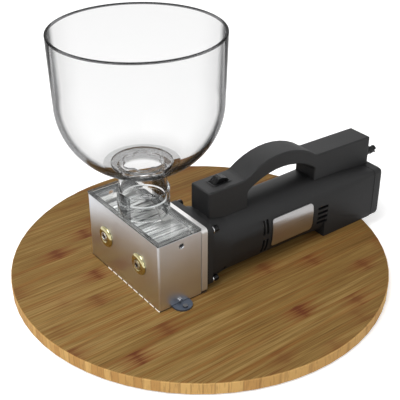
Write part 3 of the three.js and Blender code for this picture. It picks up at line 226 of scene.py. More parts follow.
class Finish(NodeTree):
    """A material with one Principled shader, and the calls that fill it."""

    def __init__(self, name, **settings):
        self.material = bpy.data.materials.new(name)
        self.material.use_nodes = True
        super().__init__(self.material.node_tree)
        self.shader = self.nodes["Principled BSDF"]
        self.place = self.node("ShaderNodeTexCoord", {}, {}, "Object")
        self.set(**settings)

    def set(self, **settings):
        """Sets sockets of the shader; base_color stands for Base Color."""
        for name, value in settings.items():
            self.feed(self.shader.inputs[SOCKETS[name]], value)

    def join(self, kind, own, sockets):
        """Puts this shader in the socket own of a node that joins it with others."""
        joined = self.node(kind, {}, {own: Value(self, self.shader.outputs[0]), **sockets})
        self.feed(self.nodes["Material Output"].inputs["Surface"], joined)

    def axes(self, vector=None):
        """The three numbers of a colour, or of the place if no colour is given."""
        first = self.node("ShaderNodeSeparateXYZ", {}, {0: vector or self.place})
        return [Value(self, socket) for socket in first.socket.node.outputs]

    def vector(self, x, y, z):
        return self.node("ShaderNodeCombineXYZ", {}, {0: x, 1: y, 2: z})

    def noise(self, where=None, scale=1.0, detail=3.0, roughness=0.5):
        return self.node("ShaderNodeTexNoise", {}, {
            "Vector": where or self.place, "Scale": scale, "Detail": detail,
            "Roughness": roughness})

    def chance(self, number):
        """One random number for each whole number."""
        return self.node("ShaderNodeTexWhiteNoise", {"noise_dimensions": "1D"}, {"W": number})

    def mix(self, share, first, second):
        """A colour between two others."""
        return self.node(
            "ShaderNodeMix", {"data_type": "RGBA"}, {"Factor": share, 6: first, 7: second}, 2)

    def tones(self, share, dark, light, roughness):
        """Sets a colour between two tones, and how rough it is."""
        self.set(base_color=self.mix(share, dark, light), roughness=roughness)

    def bump(self, height, distance, strength):
        """Relief in the light alone: distance is its depth in metres."""
        normal = self.node("ShaderNodeBump", {}, {
            "Height": height, "Distance": distance, "Strength": strength})
        self.feed(self.shader.inputs["Normal"], normal)


print("a finish has", len(SOCKETS), "sockets to set")

# %% [markdown]
# ## Bamboo: the strips and their nodes
#
# The board is laminated from strips about 19 mm wide that run along the motor. Each has a node
# or two, where the cane had its joint: a reddish stain with a darker heart. A colour ramp with
# one flat stop for each strip serves as a table: red and green hold the places of its two
# nodes, and blue their strength.

# %% Lay out the strips
STRIP, STRIP_SHIFT, FIRST_STRIP = 0.0191, 0.225, -11
TABLE_SPAN = 400.0  # mm along the board that 0 to 1 in the table stands for
NODES_OF_STRIPS = (  # place of both nodes in mm and their strength, for each strip from -X
    (-30, 60, 0.2), (70, -20, 0.2), (20, 110, 0.3), (-140, -10, 0.2), (40, -60, 0.3),
    (-80, 90, 0.8), (-124, 120, 0.8), (-40, 150, 0.3), (-190, 70, 0.3), (-109, 140, 0.9),
    (-160, 20, 0.2), (-130, 60, 0.5), (-185, 0, 0.2), (-60, 120, 0.2), (38, -190, 0.6),
    (88, -101, 0.6), (-145, 180, 1.0), (126, -190, 0.6), (19, 180, 1.0), (76, -170, 0.6),
    (-40, 60, 0.3), (10, -60, 0.3),
)


def strip_nodes(finish, strip):
    """The table's row for a strip: the places of its two nodes and their strength."""
    count = len(NODES_OF_STRIPS)
    stops = tuple(
        (index / count, (first / TABLE_SPAN + 0.5, second / TABLE_SPAN + 0.5, strength))
        for index, (first, second, strength) in enumerate(NODES_OF_STRIPS))
    return finish.axes(finish.node(
        "ShaderNodeValToRGB", {"interpolation": "CONSTANT", "stops": stops},
        {"Fac": (strip - FIRST_STRIP + 0.5) / count}))


print(len(NODES_OF_STRIPS), "strips")

# %% [markdown]
# ## Bamboo: the top
#
# Four noises make the grain: fine dark fibres, longer streaks, reddish ones and clouds of tone,
# each stretched along the strip. Streaks and fibres also push the edge of each node to and fro,
# because a node frays out along the fibres. The tone is also painted lighter towards the front
# of the board and darker towards the back, as painted light.

# %% Colour the board's top
TOP_TONES = (
    (0.0, (0.140, 0.070, 0.018)), (0.35, (0.195, 0.108, 0.030)),
    (0.7, (0.245, 0.148, 0.044)), (1.0, (0.310, 0.198, 0.068)),
)
RED_FIBRE, DARK_FIBRE = (0.225, 0.092, 0.021), (0.105, 0.050, 0.013)
NODE_STAIN, NODE_HEART = (0.180, 0.058, 0.016), (0.105, 0.024, 0.010)
SEAM_GLUE = (0.09, 0.045, 0.012)


def bamboo_top(finish, x, y, z):
    """The top's colour, its fibres, the seams between strips and the hearts of the nodes."""
    across = x / STRIP + STRIP_SHIFT
    strip = across.math("FLOOR")
    fibres = finish.noise(finish.vector(x * 1500.0, y * 20.0, z * 300.0), detail=4.0)
    streaks = finish.noise(
        finish.vector(x * 460.0, y * 8.0, strip * 3.1), detail=4.0, roughness=0.6)
    clouds = finish.noise(finish.vector(x * 26.0, y * 9.0, strip * 0.7), detail=2.0)
    redness = finish.noise(finish.vector(x * 260.0, y * 5.0, strip * 1.7))

    *places, strength = strip_nodes(finish, strip)
    waver = (streaks - 0.5) * 0.042 + (fibres - 0.5) * 0.016
    away = [(y - (place - 0.5) * (TABLE_SPAN * MM)).size() for place in places]
    hearts = [1 - (distance + waver).step(-0.002, 0.0100) for distance in away]
    stains = [1 - (distance + waver * 1.6).step(0.0, 0.028) for distance in away]
    heart, stain = hearts[0] + hearts[1], stains[0] + stains[1]

    own_tone = finish.chance(strip + 1.9) * 0.35
    # painted light: the - y * 1.3 term paints the top lighter towards the front and darker towards
    # the back
    top = finish.node("ShaderNodeValToRGB", {"stops": TOP_TONES}, {
        "Fac": own_tone + clouds * 0.45 + (streaks - 0.5) * 2.1 - y * 1.3 + 0.18})
    top = finish.mix((redness - 0.50).step(0.0, 0.16) * 0.62, top, RED_FIBRE)
    top = finish.mix((fibres - 0.42).step(0.0, 0.28) * 0.68, top, DARK_FIBRE)
    top = finish.mix(stain * strength * 0.75, top, NODE_STAIN)
    top = finish.mix(heart * strength * (0.50 + fibres * 0.7), top, NODE_HEART)
    seam = (across.math("FRACT") - 0.5).size().step(0.478, 0.5)
    return finish.mix(seam * 0.32, top, SEAM_GLUE), fibres, seam, heart


print(len(TOP_TONES), "tones in the top")

# %% [markdown]
# ## Bamboo: the edge
#
# Round the edge the laths inside each strip show: pale upright bars about 6 mm wide with thin
# glue lines and dark pores. The edge takes over from the top in the last millimetre.

# %% Colour the edge and make the bamboo
LATH = 0.0062
BOARD_RADIUS = 0.2
EDGE_START, EDGE_END = 0.0011, 0.0003  # in from the board's outline
LATH_DARK, LATH_PALE = (0.46, 0.235, 0.072), (0.73, 0.465, 0.17)
LATH_GLUE, LATH_PORE = (0.27, 0.13, 0.045), (0.25, 0.12, 0.04)


def bamboo_edge(finish, x, y, z):
    """The edge's colour and its pores."""
    laths = x / LATH + 50.0
    pores = finish.noise(finish.vector(x * 700.0, y * 700.0, z * 60.0))
    own_tone = finish.chance(laths.math("FLOOR"))
    edge = finish.mix(own_tone * 0.7 + pores * 0.3, LATH_DARK, LATH_PALE)
    seam = (laths.math("FRACT") - 0.5).size().step(0.40, 0.5)
    edge = finish.mix(seam * 0.42, edge, LATH_GLUE)
    return finish.mix((pores - 0.52).step(0.0, 0.12) * 0.35, edge, LATH_PORE), pores


bamboo = Finish("bamboo", specular=0.12)
x, y, z = bamboo.axes()
top, fibres, seam, heart = bamboo_top(bamboo, x, y, z)
edge, pores = bamboo_edge(bamboo, x, y, z)
at_edge = ((x * x + y * y) ** 0.5).step(BOARD_RADIUS - EDGE_START, BOARD_RADIUS - EDGE_END)
bamboo.tones(at_edge, top, edge, 0.60 + fibres * 0.16 + heart * 0.03)
bamboo.bump(fibres * 0.6 - seam * 0.5 - at_edge * pores, 0.00018, 0.6)
print(len(bamboo.nodes), "nodes in the bamboo")

# %% [markdown]
# ## Satin and ground steel
#
# The box is bead-blasted stainless sheet: its broad gloss turns the board's brown and the pale
# room into one slow change of tone. The plates are ground, which leaves fine straight lines. A
# metal's base colour is the colour of its mirror image, and the roughness spreads that image.

# %% Make the sheet and the plates
satin_steel = Finish("satin_steel", metallic=1.0)
grain, mottle = satin_steel.noise(scale=2600.0, detail=2.0), satin_steel.noise(scale=38.0)
x, y, z = satin_steel.axes()
wear = z.step(0.01, 0.10) * 0.10 + x.step(0.0570, 0.0584) * 0.03
satin_steel.tones(
    mottle, (0.66, 0.675, 0.71), (0.75, 0.765, 0.80), 0.23 + wear + grain * 0.07 + mottle * 0.04)
satin_steel.bump(grain, 0.00003, 0.35)


def make_ground_steel(name, dark, light, roughness):
    finish = Finish(name, metallic=1.0)
    x, y, z = finish.axes()
    lines = finish.noise(finish.vector(x * 900.0, y * 60.0, z * 3200.0))
    finish.tones(
        lines, dark, light, roughness + lines * 0.12 + finish.noise(scale=60.0) * 0.06)
    finish.bump(lines, 0.00002, 0.3)
    return finish


machined_steel = make_ground_steel(
    "machined_steel", (0.60, 0.59, 0.57), (0.74, 0.73, 0.71), 0.20)
plate_steel = make_ground_steel("plate_steel", (0.62, 0.61, 0.60), (0.76, 0.75, 0.74), 0.36)
print("sheet, shaft and plate steel ready")

# %% [markdown]
# ## The rollers and the brass
#
# The rollers shine on their worn lands. Down in the flutes they are painted dark, as shade,
# told apart by the distance from the axis, and stripes round the axis paint the flutes' light
# and shade. The rollers' steel is also painted darker overall than the shafts', as the shade
# inside the box. The bushes are turned brass, with rings too fine to see one by one.
# Folding the place across the plane midway between the axes lets one pattern serve a pair.

# %% Make the rollers and the brass
ROLLER_RADIUS = 0.0299
LAND_START, LAND_END = 0.00075, 0.00010  # in from that radius
FLUTE_STRIPES = 64.0
RINGS_PER_METRE = 14000.0
PAIR_MIDDLE, PAIR_HALF = (DRIVE_X + IDLER_X) / 2 * MM, (DRIVE_X - IDLER_X) / 2 * MM

# painted shade: the rollers' steel is darker overall than the shafts', for the shade inside the box
roller_steel = Finish("roller_steel", metallic=1.0)
x, y, z = roller_steel.axes()
out = (x - PAIR_MIDDLE).size() - PAIR_HALF
on_idler = 1 - x.step(PAIR_MIDDLE - MM / 2, PAIR_MIDDLE + MM / 2)
up = z - AXIS_Z * MM - on_idler * (IDLER_RISE * MM)
radius = (out * out + up * up) ** 0.5
dust = roller_steel.noise(scale=240.0)
# real wear makes the lands bright; the dark below them in the flutes is painted shade, and the
# stripes are the flutes' painted light and shade
worn_lands_shaded_flutes = radius.step(ROLLER_RADIUS - LAND_START, ROLLER_RADIUS - LAND_END)
painted_flute_stripes = (up.math("ARCTAN2", out) * FLUTE_STRIPES).math("SINE").step(-0.5, 0.5)
roller_steel.tones(
    worn_lands_shaded_flutes * 0.55 + painted_flute_stripes * 0.25 + dust * 0.20, (0.24, 0.24, 0.24), (0.74, 0.74, 0.73),
    0.28 + dust * 0.10)

brass = Finish("brass", metallic=1.0)
x, y, z = brass.axes()
out, up = (x - PAIR_MIDDLE).size() - PAIR_HALF, z - AXIS_Z * MM
rings = ((out * out + up * up) ** 0.5 * RINGS_PER_METRE).math("SINE")
stain = brass.noise(scale=300.0)
brass.tones(stain, (0.52, 0.46, 0.22), (0.72, 0.66, 0.40), 0.10 + stain * 0.09)
brass.bump(rings, 0.000003, 0.4)
print("rollers and brass ready")

# %% [markdown]
# ## Dark steel and zinc
#
# Oiled steel, bright screws and the painted shade inside the shafts' sockets differ only in
# colour and gloss, so one function makes all three. The lugs are zinc with a dull bluish
# passivation.

# %% Make the small steels and the zinc
def make_dark_steel(name, dark, light, roughness):
    finish = Finish(name, metallic=1.0)
    mottle = finish.noise(scale=420.0, detail=4.0)
    finish.tones(mottle, dark, light, roughness + mottle * 0.14)
    finish.bump(mottle, 0.00003, 0.4)
    return finish


dark_steel = make_dark_steel("dark_steel", (0.10, 0.10, 0.11), (0.24, 0.235, 0.23), 0.34)
screw_steel = make_dark_steel("screw_steel", (0.40, 0.40, 0.41), (0.55, 0.55, 0.56), 0.16)
# painted shade: a dark steel for the faces inside the shafts' key sockets
shaded_socket_steel = make_dark_steel("shaded_socket_steel", (0.10, 0.085, 0.075), (0.20, 0.17, 0.15), 0.40)
zinc = Finish("zinc", metallic=0.55)
peel, clouds = zinc.noise(scale=900.0, detail=2.0), zinc.noise(scale=110.0)
zinc.tones(clouds, (0.060, 0.075, 0.105), (0.105, 0.125, 0.160), 0.36 + peel * 0.18)
zinc.bump(peel, 0.00005, 0.5)
print("small steels and zinc ready")

# %% [markdown]
# ## Clear plastic
#
# The hopper, the cover and the guard are clear acrylic. A wall seen edge-on looks dark grey,
# since light has a long way through it, so the colour falls off with the angle of view by
# Layer Weight. Lamps would leave black shadows under glass, so shadow rays pass through it.

# %% A clear finish with dark edges
PASSING_LIGHT = (0.93, 0.93, 0.93)


def make_clear(name, ior, tints, edge, haze, rim=None, rim_share=0.0, coat=0.0):
    """Glass whose colour goes from the first tint to the second where a wall is seen edge-on.

    edge and haze are (low, high, share): the facing values between which each one grows.
    """
    finish = Finish(name, transmission=1.0, ior=ior, coat=coat, coat_roughness=0.04)
    facing = finish.node("ShaderNodeLayerWeight", {}, {"Blend": 0.5}, "Facing")
    grey = facing.step(*edge[:2]) * edge[2]
    grey = grey.math("MAXIMUM", facing.step(*haze[:2]) * haze[2])
    if rim is not None:
        grey = grey.math("MAXIMUM", rim(finish) * rim_share)
    finish.tones(grey, *tints, finish.noise(scale=160.0) * 0.02)
    finish.join("ShaderNodeMixShader", 1, {
        0: finish.ray("Shadow"),
        2: finish.node("ShaderNodeBsdfTransparent", {}, {"Color": PASSING_LIGHT})})
    return finish


print("clear plastic lets", PASSING_LIGHT[0], "of a lamp's light through")

# %% [markdown]
# ## The four clear pieces
#
# The hopper is painted darkest on its cut rim and under the bowl, as shade in the glass. Its
# neck has grey shade painted on the step where the finger guard rests, and a sawn end that is
# matt and nearly white. The cover's raised frame and the thick guard are seen through their
# whole width, so their edges are dark, and the frame's dark is painted by its place.

# %% Make the clear finishes
def hopper_shade(finish):
    """1 on the rim, and a part of it where the wall curves in under the bowl: painted shade."""
    height = finish.axes()[2]
    shade_under_bowl = 1 - height.step(0.137, 0.156)
    return height.step(0.2745, 0.2749) + shade_under_bowl * 0.36


def ring_shade(finish):
    """1 on the step under the bowl, where the finger guard rests: painted shade."""
    return finish.axes()[2].step(0.1345, 0.1375)


def lid_rim(finish):
    """1 on the lid's raised frame, where dark is painted as the shade of glass seen edge-on."""
    sides = []
    for value, middle, half in zip(finish.axes(), LID_CENTRE, LID_HALF):
        inner = (half - LID_FRAME) * MM
        sides.append((value - middle * MM).size().step(inner, inner + 0.0003))
    return sides[0].math("MAXIMUM", sides[1])


clear_hopper = make_clear(
    "clear_hopper", 1.07, ((0.965, 0.965, 0.965), (0.020, 0.020, 0.022)),
    edge=(0.58, 0.78, 0.97), haze=(0.25, 0.66, 0.13), rim=hopper_shade, rim_share=0.97)
clear_neck = make_clear(
    "clear_neck", 1.06, ((0.92, 0.92, 0.92), (0.07, 0.07, 0.07)),
    edge=(0.58, 0.86, 0.75), haze=(0.2, 0.7, 0.05), rim=ring_shade, rim_share=0.60, coat=0.22)
clear_cover = make_clear(
    "clear_cover", 1.08, ((0.93, 0.94, 0.94), (0.040, 0.045, 0.045)),
    edge=(0.70, 0.90, 0.55), haze=(0.2, 0.8, 0.05), rim=lid_rim, rim_share=0.84, coat=0.38)
clear_guard = make_clear(
    "clear_guard", 1.20, ((0.88, 0.88, 0.88), (0.05, 0.05, 0.05)),
    edge=(0.45, 0.75, 0.95), haze=(0.2, 0.7, 0.5))
cut_edge = Finish("cut_edge")
marks = cut_edge.noise(scale=900.0)
cut_edge.tones(marks, (0.62, 0.63, 0.63), (0.85, 0.86, 0.86), 0.35 + marks * 0.25)
print("clear plastics ready")

# %% [markdown]
# ## Black plastics
#
# The motor, the gear housing and the handle are moulded in black with a fine spark-eroded
# texture, which makes a broad dull gloss. The switch and the cord boot are smoother. About one
# hundredth of the light comes back from inside, and the grey that one sees is mostly gloss.

# %% Make the black finishes
def make_black(name, colour, gloss, texture_depth, texture_scale, specular):
    finish = Finish(name, specular=specular)
    texture = finish.noise(scale=texture_scale, detail=2.0, roughness=0.6)
    handling = finish.noise(scale=24.0, detail=4.0)
    lighter = tuple(part * 1.5 for part in colour)
    finish.tones(handling, colour, lighter, gloss + texture * 0.10 + handling * 0.06)
    finish.bump(texture, texture_depth, 0.5)
    return finish


black_plastic = make_black(
    "black_plastic", (0.0092, 0.0092, 0.0095), 0.48, 0.00006, 1900.0, 0.33)
switch_plastic = make_black(
    "switch_plastic", (0.0022, 0.0022, 0.0024), 0.20, 0.00002, 700.0, 0.18)
print("black plastics ready")

# %% [markdown]
# ## Label, seal and the pieces inside
#
# The label plate is brushed silver. The seal under the box is painted dark, as the shade in the
# gap under the box, with pale dashes along its front that glow a little: a painted highlight of
# the light caught along the box's bottom edge. Copper, carbon and nylon only show when the motor
# is looked into, but each gets its own look: lacquered wire, pressed grains and a milky moulding.

# %% Make the remaining finishes
label_metal = Finish("label_metal", metallic=1.0)
x, y, z = label_metal.axes()
brushed = label_metal.noise(label_metal.vector(x * 30.0, y * 40.0, z * 2600.0))
label_metal.tones(brushed, (0.42, 0.41, 0.41), (0.56, 0.55, 0.55), 0.24 + brushed * 0.12)
label_metal.bump(brushed, 0.00002, 0.4)

# painted shade and highlight: the seal is dark as the shade in the gap under the box, and its pale
# dashes glow as a painted highlight
DASH, DASH_SHIFT = 0.0097, 13.92
seal = Finish("seal", glow=0.55)
x, y, z = seal.axes()
grains = seal.noise(scale=500.0)
highlight_dash = 1 - ((x / DASH + DASH_SHIFT).math("FRACT") - 0.5).size().step(0.36, 0.41)
highlight_dash = highlight_dash * x.step(-0.0380, -0.0376) * (1 - y.step(-0.0925, -0.0922))
highlight_pale = seal.mix(grains, (0.86, 0.82, 0.76), (0.97, 0.95, 0.91))
seal.tones(highlight_dash, (0.050, 0.030, 0.016), highlight_pale, 0.5 + grains * 0.12)
seal.set(glow_color=seal.mix(highlight_dash, (0.0, 0.0, 0.0), highlight_pale))
seal.bump(grains, 0.00004, 0.4)


def make_speckled(name, dark, light, roughness, scale, metallic=0.0):
    finish = Finish(name, metallic=metallic)
    grains = finish.noise(scale=scale)
    finish.tones(grains, dark, light, roughness + grains * 0.12)
    finish.bump(grains, 0.00004, 0.4)
    return finish


copper = make_speckled("copper", (0.46, 0.17, 0.075), (0.66, 0.29, 0.14), 0.25, 800.0, 1.0)
carbon = make_speckled("carbon", (0.018, 0.018, 0.02), (0.05, 0.05, 0.055), 0.5, 1500.0)
nylon = make_speckled("nylon", (0.60, 0.57, 0.49), (0.72, 0.70, 0.62), 0.38, 90.0)
print("label, seal, copper, carbon and nylon ready")

# %% [markdown]
# ## Give each CAD node its finish
#
# Many pieces inside the machine have the right shape already. They keep their CAD mesh and
# only take a better material: the one of their slot, or their own where pieces that share a
# slot look different.

# %% Put the finishes on the nodes
finish_of_slot = {
    "bamboo": bamboo, "seal": seal, "satin_steel": satin_steel, "machined_steel": machined_steel,
    "dark_steel": dark_steel, "zinc": zinc, "brass": brass, "clear_plastic": clear_cover,
    "black_plastic": black_plastic, "switch_plastic": switch_plastic, "label_metal": label_metal,
    "copper": copper, "carbon": carbon, "nylon": nylon,
}
finish_of_node = {
    "drive_roller": roller_steel, "idler_roller": roller_steel, "back_plate": plate_steel,
    "hopper": clear_hopper, "finger_guard": clear_guard,
    **{f"flange_screw_{index}": screw_steel for index in range(1, 5)},
    **{f"lug_side_screw_{index}": screw_steel for index in range(1, 3)},
}
for node, slot in slot_of_node.items():
    finish_of_node.setdefault(node, finish_of_slot[slot])
for node, piece in frame["nodes"].items():
    piece.data.materials.clear()
    piece.data.materials.append(finish_of_node[node].material)
print(len(finish_of_slot), "finishes on", len(frame["nodes"]), "nodes")

# %% [markdown]
# ## From mesh to piece
#
# A new piece has a finish, a body that carries it, and a CAD node that it stands for, which is
# then hidden. One function says all three, and another gives some faces a further finish.
# Smooth shading needs sharp edges kept, or flat faces look swollen near their corners.

# %% Make an object and fit it
def make_object(name, bm):
    bmesh.ops.recalc_face_normals(bm, faces=bm.faces)
    mesh = bpy.data.meshes.new(name)
    bm.to_mesh(mesh)
    bm.free()
    return add_object(name, mesh)


def shade(piece, angle):
    """Smooth shading, with edges kept sharp where faces meet at more than an angle."""
    piece.data.shade_smooth()
    piece.data.set_sharp_from_angle(angle=math.radians(angle))


def fit(piece, node, *others):
    """Puts a piece on its node's body, in its node's slot, and in its node's place."""
    piece.data.materials.clear()
    piece.data.materials.append(finish_of_node[node].material)
    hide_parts(node, *others)
    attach(piece, body_of_node[node])
    print(piece.name, len(piece.data.polygons), "faces")
    return piece


def paint(piece, finish, chosen):
    """Gives the faces whose middle is chosen a further finish."""
    piece.data.materials.append(finish.material)
    for face in piece.data.polygons:
        if chosen(face.center):
            face.material_index = len(piece.data.materials) - 1


print("piece tools ready")

# %% [markdown]
# ## Turning
#
# A turned piece is drawn as half of its cross-section and swept round an axis. The section's
# corners are rounded first, because a polished edge catches light. Blending two straight lines
# gives each corner its smooth arc.

# %% Round a section and turn it
def rounded(corners, steps=4):
    """Rounds each corner (x, y, radius) of a closed outline by an arc of that radius."""
    outline = []
    count = len(corners)
    for index, (x, y, radius) in enumerate(corners):
        here = Vector((x, y))
        before = Vector(corners[index - 1][:2]) - here
        after = Vector(corners[(index + 1) % count][:2]) - here
        if radius == 0:
            outline.append(here)
            continue
        half = before.angle(after) / 2
        reach = min(radius / math.tan(half), before.length * 0.49, after.length * 0.49)
        start, end = here + before.normalized() * reach, here + after.normalized() * reach
        for step in range(steps + 1):
            share = step / steps
            outline.append(start.lerp(here, share).lerp(here.lerp(end, share), share))
    return outline


def turned(name, outline, centre, axis="Z", segments=160):
    """Turns a closed outline about an axis through centre, in mm.

    A point is (radius, along), or (radius, along, lift) where its ring's centre is higher.
    """
    bm = bmesh.new()
    rings = []
    for segment in range(segments):
        angle = 2 * math.pi * segment / segments
        ring = []
        for radius, along, *lift in outline:
            across, up = radius * math.cos(angle), radius * math.sin(angle) + sum(lift)
            place = (
                (centre[0] + across, centre[1] + up, along) if axis == "Z"
                else (centre[0] + across, along, centre[1] + up))
            ring.append(bm.verts.new(Vector(place) * MM))
        rings.append(ring)
    count = len(outline)
    for segment in range(segments):
        here, there = rings[segment], rings[(segment + 1) % segments]
        for index in range(count):
            after = (index + 1) % count
            bm.faces.new((here[index], there[index], there[after], here[after]))
    bmesh.ops.remove_doubles(bm, verts=bm.verts, dist=MM / 1000)
    bmesh.ops.dissolve_degenerate(bm, dist=MM / 1000, edges=bm.edges)
    return make_object(name, bm)


print("turning tools ready")

# %% [markdown]
# ## The hopper
#
# The hopper is one moulded shell: a bowl with slightly flared sides, a flattened round bottom
# and a straight neck that plugs into the cover's collar. Glass shows every facet, so it is
# turned afresh in many more steps than the CAD has, from the same sizes.

# %% Turn the hopper
BOWL_STEPS = 40
RIM_Z, RIM_RADIUS = 276.4, 81.0
BOWL_Z, BOWL_RADIUS, BOWL_DEPTH, WALL = 209.9, 79.2, 74.2, 2.8
NECK_RADIUS, NECK_BORE, NECK_END = 23.7, 21.4, 106.7
STEP_RADIUS, STEP_Z = 30.5, 143.18


def bowl_arc(wall, end_radius):
    """The bowl's curve from its side down to a radius, drawn in by a wall."""
    across, down = BOWL_RADIUS - wall, BOWL_DEPTH - wall
    angles = [math.acos(end_radius / across) * step / BOWL_STEPS for step in range(BOWL_STEPS + 1)]
    return [(across * math.cos(angle), BOWL_Z - down * math.sin(angle), 0.0) for angle in angles]


def make_hopper():
    outside = bowl_arc(0.0, NECK_RADIUS + WALL)
    inside = bowl_arc(WALL, STEP_RADIUS)[::-1]
    corners = [
        (RIM_RADIUS, RIM_Z, 0.9), *outside,
        (NECK_RADIUS, outside[-1][1] - WALL, 2.0), (NECK_RADIUS, NECK_END, 0.6),
        (NECK_BORE, NECK_END, 0.6), (NECK_BORE, STEP_Z, 0.8), (STEP_RADIUS, STEP_Z, 0.4), *inside,
        (RIM_RADIUS - WALL, RIM_Z, 0.9),
    ]
    piece = turned("hopper_shell", rounded(corners), HOPPER_AXIS, segments=192)
    shade(piece, 50.0)
    fit(piece, "hopper")
    paint(piece, clear_neck, lambda place: place.z / MM < STEP_Z + WALL / 2)
    paint(piece, cut_edge, lambda place: place.z / MM < NECK_END + 0.5)


make_hopper()

# %% [markdown]
# ## Loops round the hopper's axis
#
# The lid is drawn as loops of points round its throat. Each loop is a rectangle or a circle
# with its points on the same rays, and the surface is the band from one loop to the next. A
# rectangle's corners fall between two rays, so the nearest point is moved onto each.

# %% Draw loops and skin them
RAYS = 240
ANGLES = [2 * math.pi * index / RAYS for index in range(RAYS)]


def circle(radius, lobes=0.0, count=0):
    """A loop at a radius that swells by lobes, count times round."""
    reaches = [radius + lobes * abs(math.sin(count / 2 * angle)) for angle in ANGLES]
    return [
        Vector((HOPPER_AXIS[0] + reach * math.cos(angle), HOPPER_AXIS[1] + reach * math.sin(angle)))
        for reach, angle in zip(reaches, ANGLES)]


def rectangle_point(gap, angle):
    """Where a ray from the hopper's axis meets the lid's outline, drawn in by gap."""
    ray = Vector((math.cos(angle), math.sin(angle)))
    reaches = []
    for axis in range(2):
        if abs(ray[axis]) > 1e-6:
            side = LID_CENTRE[axis] + math.copysign(LID_HALF[axis] - gap, ray[axis])
            reaches.append((side - HOPPER_AXIS[axis]) / ray[axis])
    return Vector(HOPPER_AXIS) + ray * min(reaches)


def rectangle(gap):
    """A loop along the lid's outline, drawn in by gap, with its corners in place."""
    points = [rectangle_point(gap, angle) for angle in ANGLES]
    for sides in CORNERS:
        corner = Vector([
            middle + side * (half - gap)
            for middle, side, half in zip(LID_CENTRE, sides, LID_HALF)])
        nearest = min(range(RAYS), key=lambda index: (points[index] - corner).length)
        points[nearest] = corner
    return points


def banded(name, loops, width, segments, angle):
    """Skins (points, height) loops, in mm, back to the first, and softens the edges."""
    bm = bmesh.new()
    rings = [[bm.verts.new(Vector((*point, z)) * MM) for point in points] for points, z in loops]
    for index, ring in enumerate(rings):
        above = rings[(index + 1) % len(rings)]
        for here in range(RAYS):
            there = (here + 1) % RAYS
            bm.faces.new((ring[here], ring[there], above[there], above[here]))
    piece = make_object(name, bm)
    bevel = piece.modifiers.new("soft_edges", "BEVEL")
    bevel.width = width * MM
    bevel.segments = segments
    bevel.angle_limit = math.radians(angle)
    shade(piece, 35.0)
    return piece


print(RAYS, "rays in a loop")

# %% [markdown]
# ## The cover, its collar and the finger guard
#
# The lid has a raised frame, a throat and a skirt that drops inside the box. Its collar is
# turned, with a ledge that the hopper's neck stands on. The guard is a flat ring with a
# scalloped opening, so grain falls through but fingers don't fit.

# %% Build the cover and the guard
LID_TOP, LID_FLOOR, LID_BOTTOM, SKIRT_END = 92.0, 90.8, 89.5, 84.9
SKIRT_OUT, SKIRT_IN = 1.8, 3.8
THROAT_RADIUS = 21.6
COLLAR_RADIUS, COLLAR_BORE, COLLAR_TOP = 26.2, 24.0, 118.0
LEDGE_TOP, LEDGE_FOOT, LEDGE_BORE = 106.4, 104.4, 22.0
GUARD_RADIUS, GUARD_OPEN, GUARD_LOBE, GUARD_LOBES = 30.0, 16.0, 4.0, 6
GUARD_LOW, GUARD_TOP = 143.5, 146.45


def make_lid():
    edge, frame_edge = rectangle(0.0), rectangle(LID_FRAME)
    skirt_out, skirt_in = rectangle(SKIRT_OUT), rectangle(SKIRT_IN)
    throat = circle(THROAT_RADIUS)
    piece = banded("cover_lid", [
        (edge, LID_BOTTOM), (edge, LID_TOP), (frame_edge, LID_TOP), (frame_edge, LID_FLOOR),
        (throat, LID_FLOOR), (throat, LID_BOTTOM), (skirt_in, LID_BOTTOM), (skirt_in, SKIRT_END),
        (skirt_out, SKIRT_END), (skirt_out, LID_BOTTOM)], 0.35, 2, 40.0)
    fit(piece, "clear_cover")


def make_collar():
    foot = LID_FLOOR + 0.02
    outline = rounded([
        (THROAT_RADIUS, foot, 0.0), (23.4, foot, 0.0), (23.4, 92.3, 0.4),
        (COLLAR_RADIUS, 92.3, 0.6), (COLLAR_RADIUS, COLLAR_TOP, 0.7),
        (COLLAR_BORE, COLLAR_TOP, 0.7), (COLLAR_BORE, LEDGE_TOP, 0.5),
        (LEDGE_BORE, LEDGE_TOP, 0.6), (LEDGE_BORE, LEDGE_FOOT, 0.5), (COLLAR_BORE, 102.4, 0.5),
        (COLLAR_BORE, 96.3, 0.5), (THROAT_RADIUS, 94.3, 0.5)])
    piece = turned("cover_collar", outline, HOPPER_AXIS, segments=144)
    shade(piece, 50.0)
    fit(piece, "clear_cover")


def make_guard():
    outer, opening = circle(GUARD_RADIUS), circle(GUARD_OPEN, GUARD_LOBE, GUARD_LOBES)
    piece = banded("finger_guard_plate", [
        (outer, GUARD_LOW), (outer, GUARD_TOP), (opening, GUARD_TOP), (opening, GUARD_LOW)],
        0.5, 3, 50.0)
    fit(piece, "finger_guard")


make_lid()
make_collar()
make_guard()

# %% [markdown]
# ## The front bushes
#
# Each bush has a domed brass flange. The idler's bore sits a little above its flange's centre,
# because turning that bush moves the roller and sets the gap, so a point of the section can
# carry a lift of its centre.

# %% Turn the bushes
BUSH_FRONT, BUSH_SEAT, BUSH_END = -95.5, -93.0, -82.9
BUSH_BORE, SLEEVE_RADIUS, DOME_INNER, DOME_OUTER = 5.3, 10.0, 6.4, 11.6
DOME_STEPS = 16


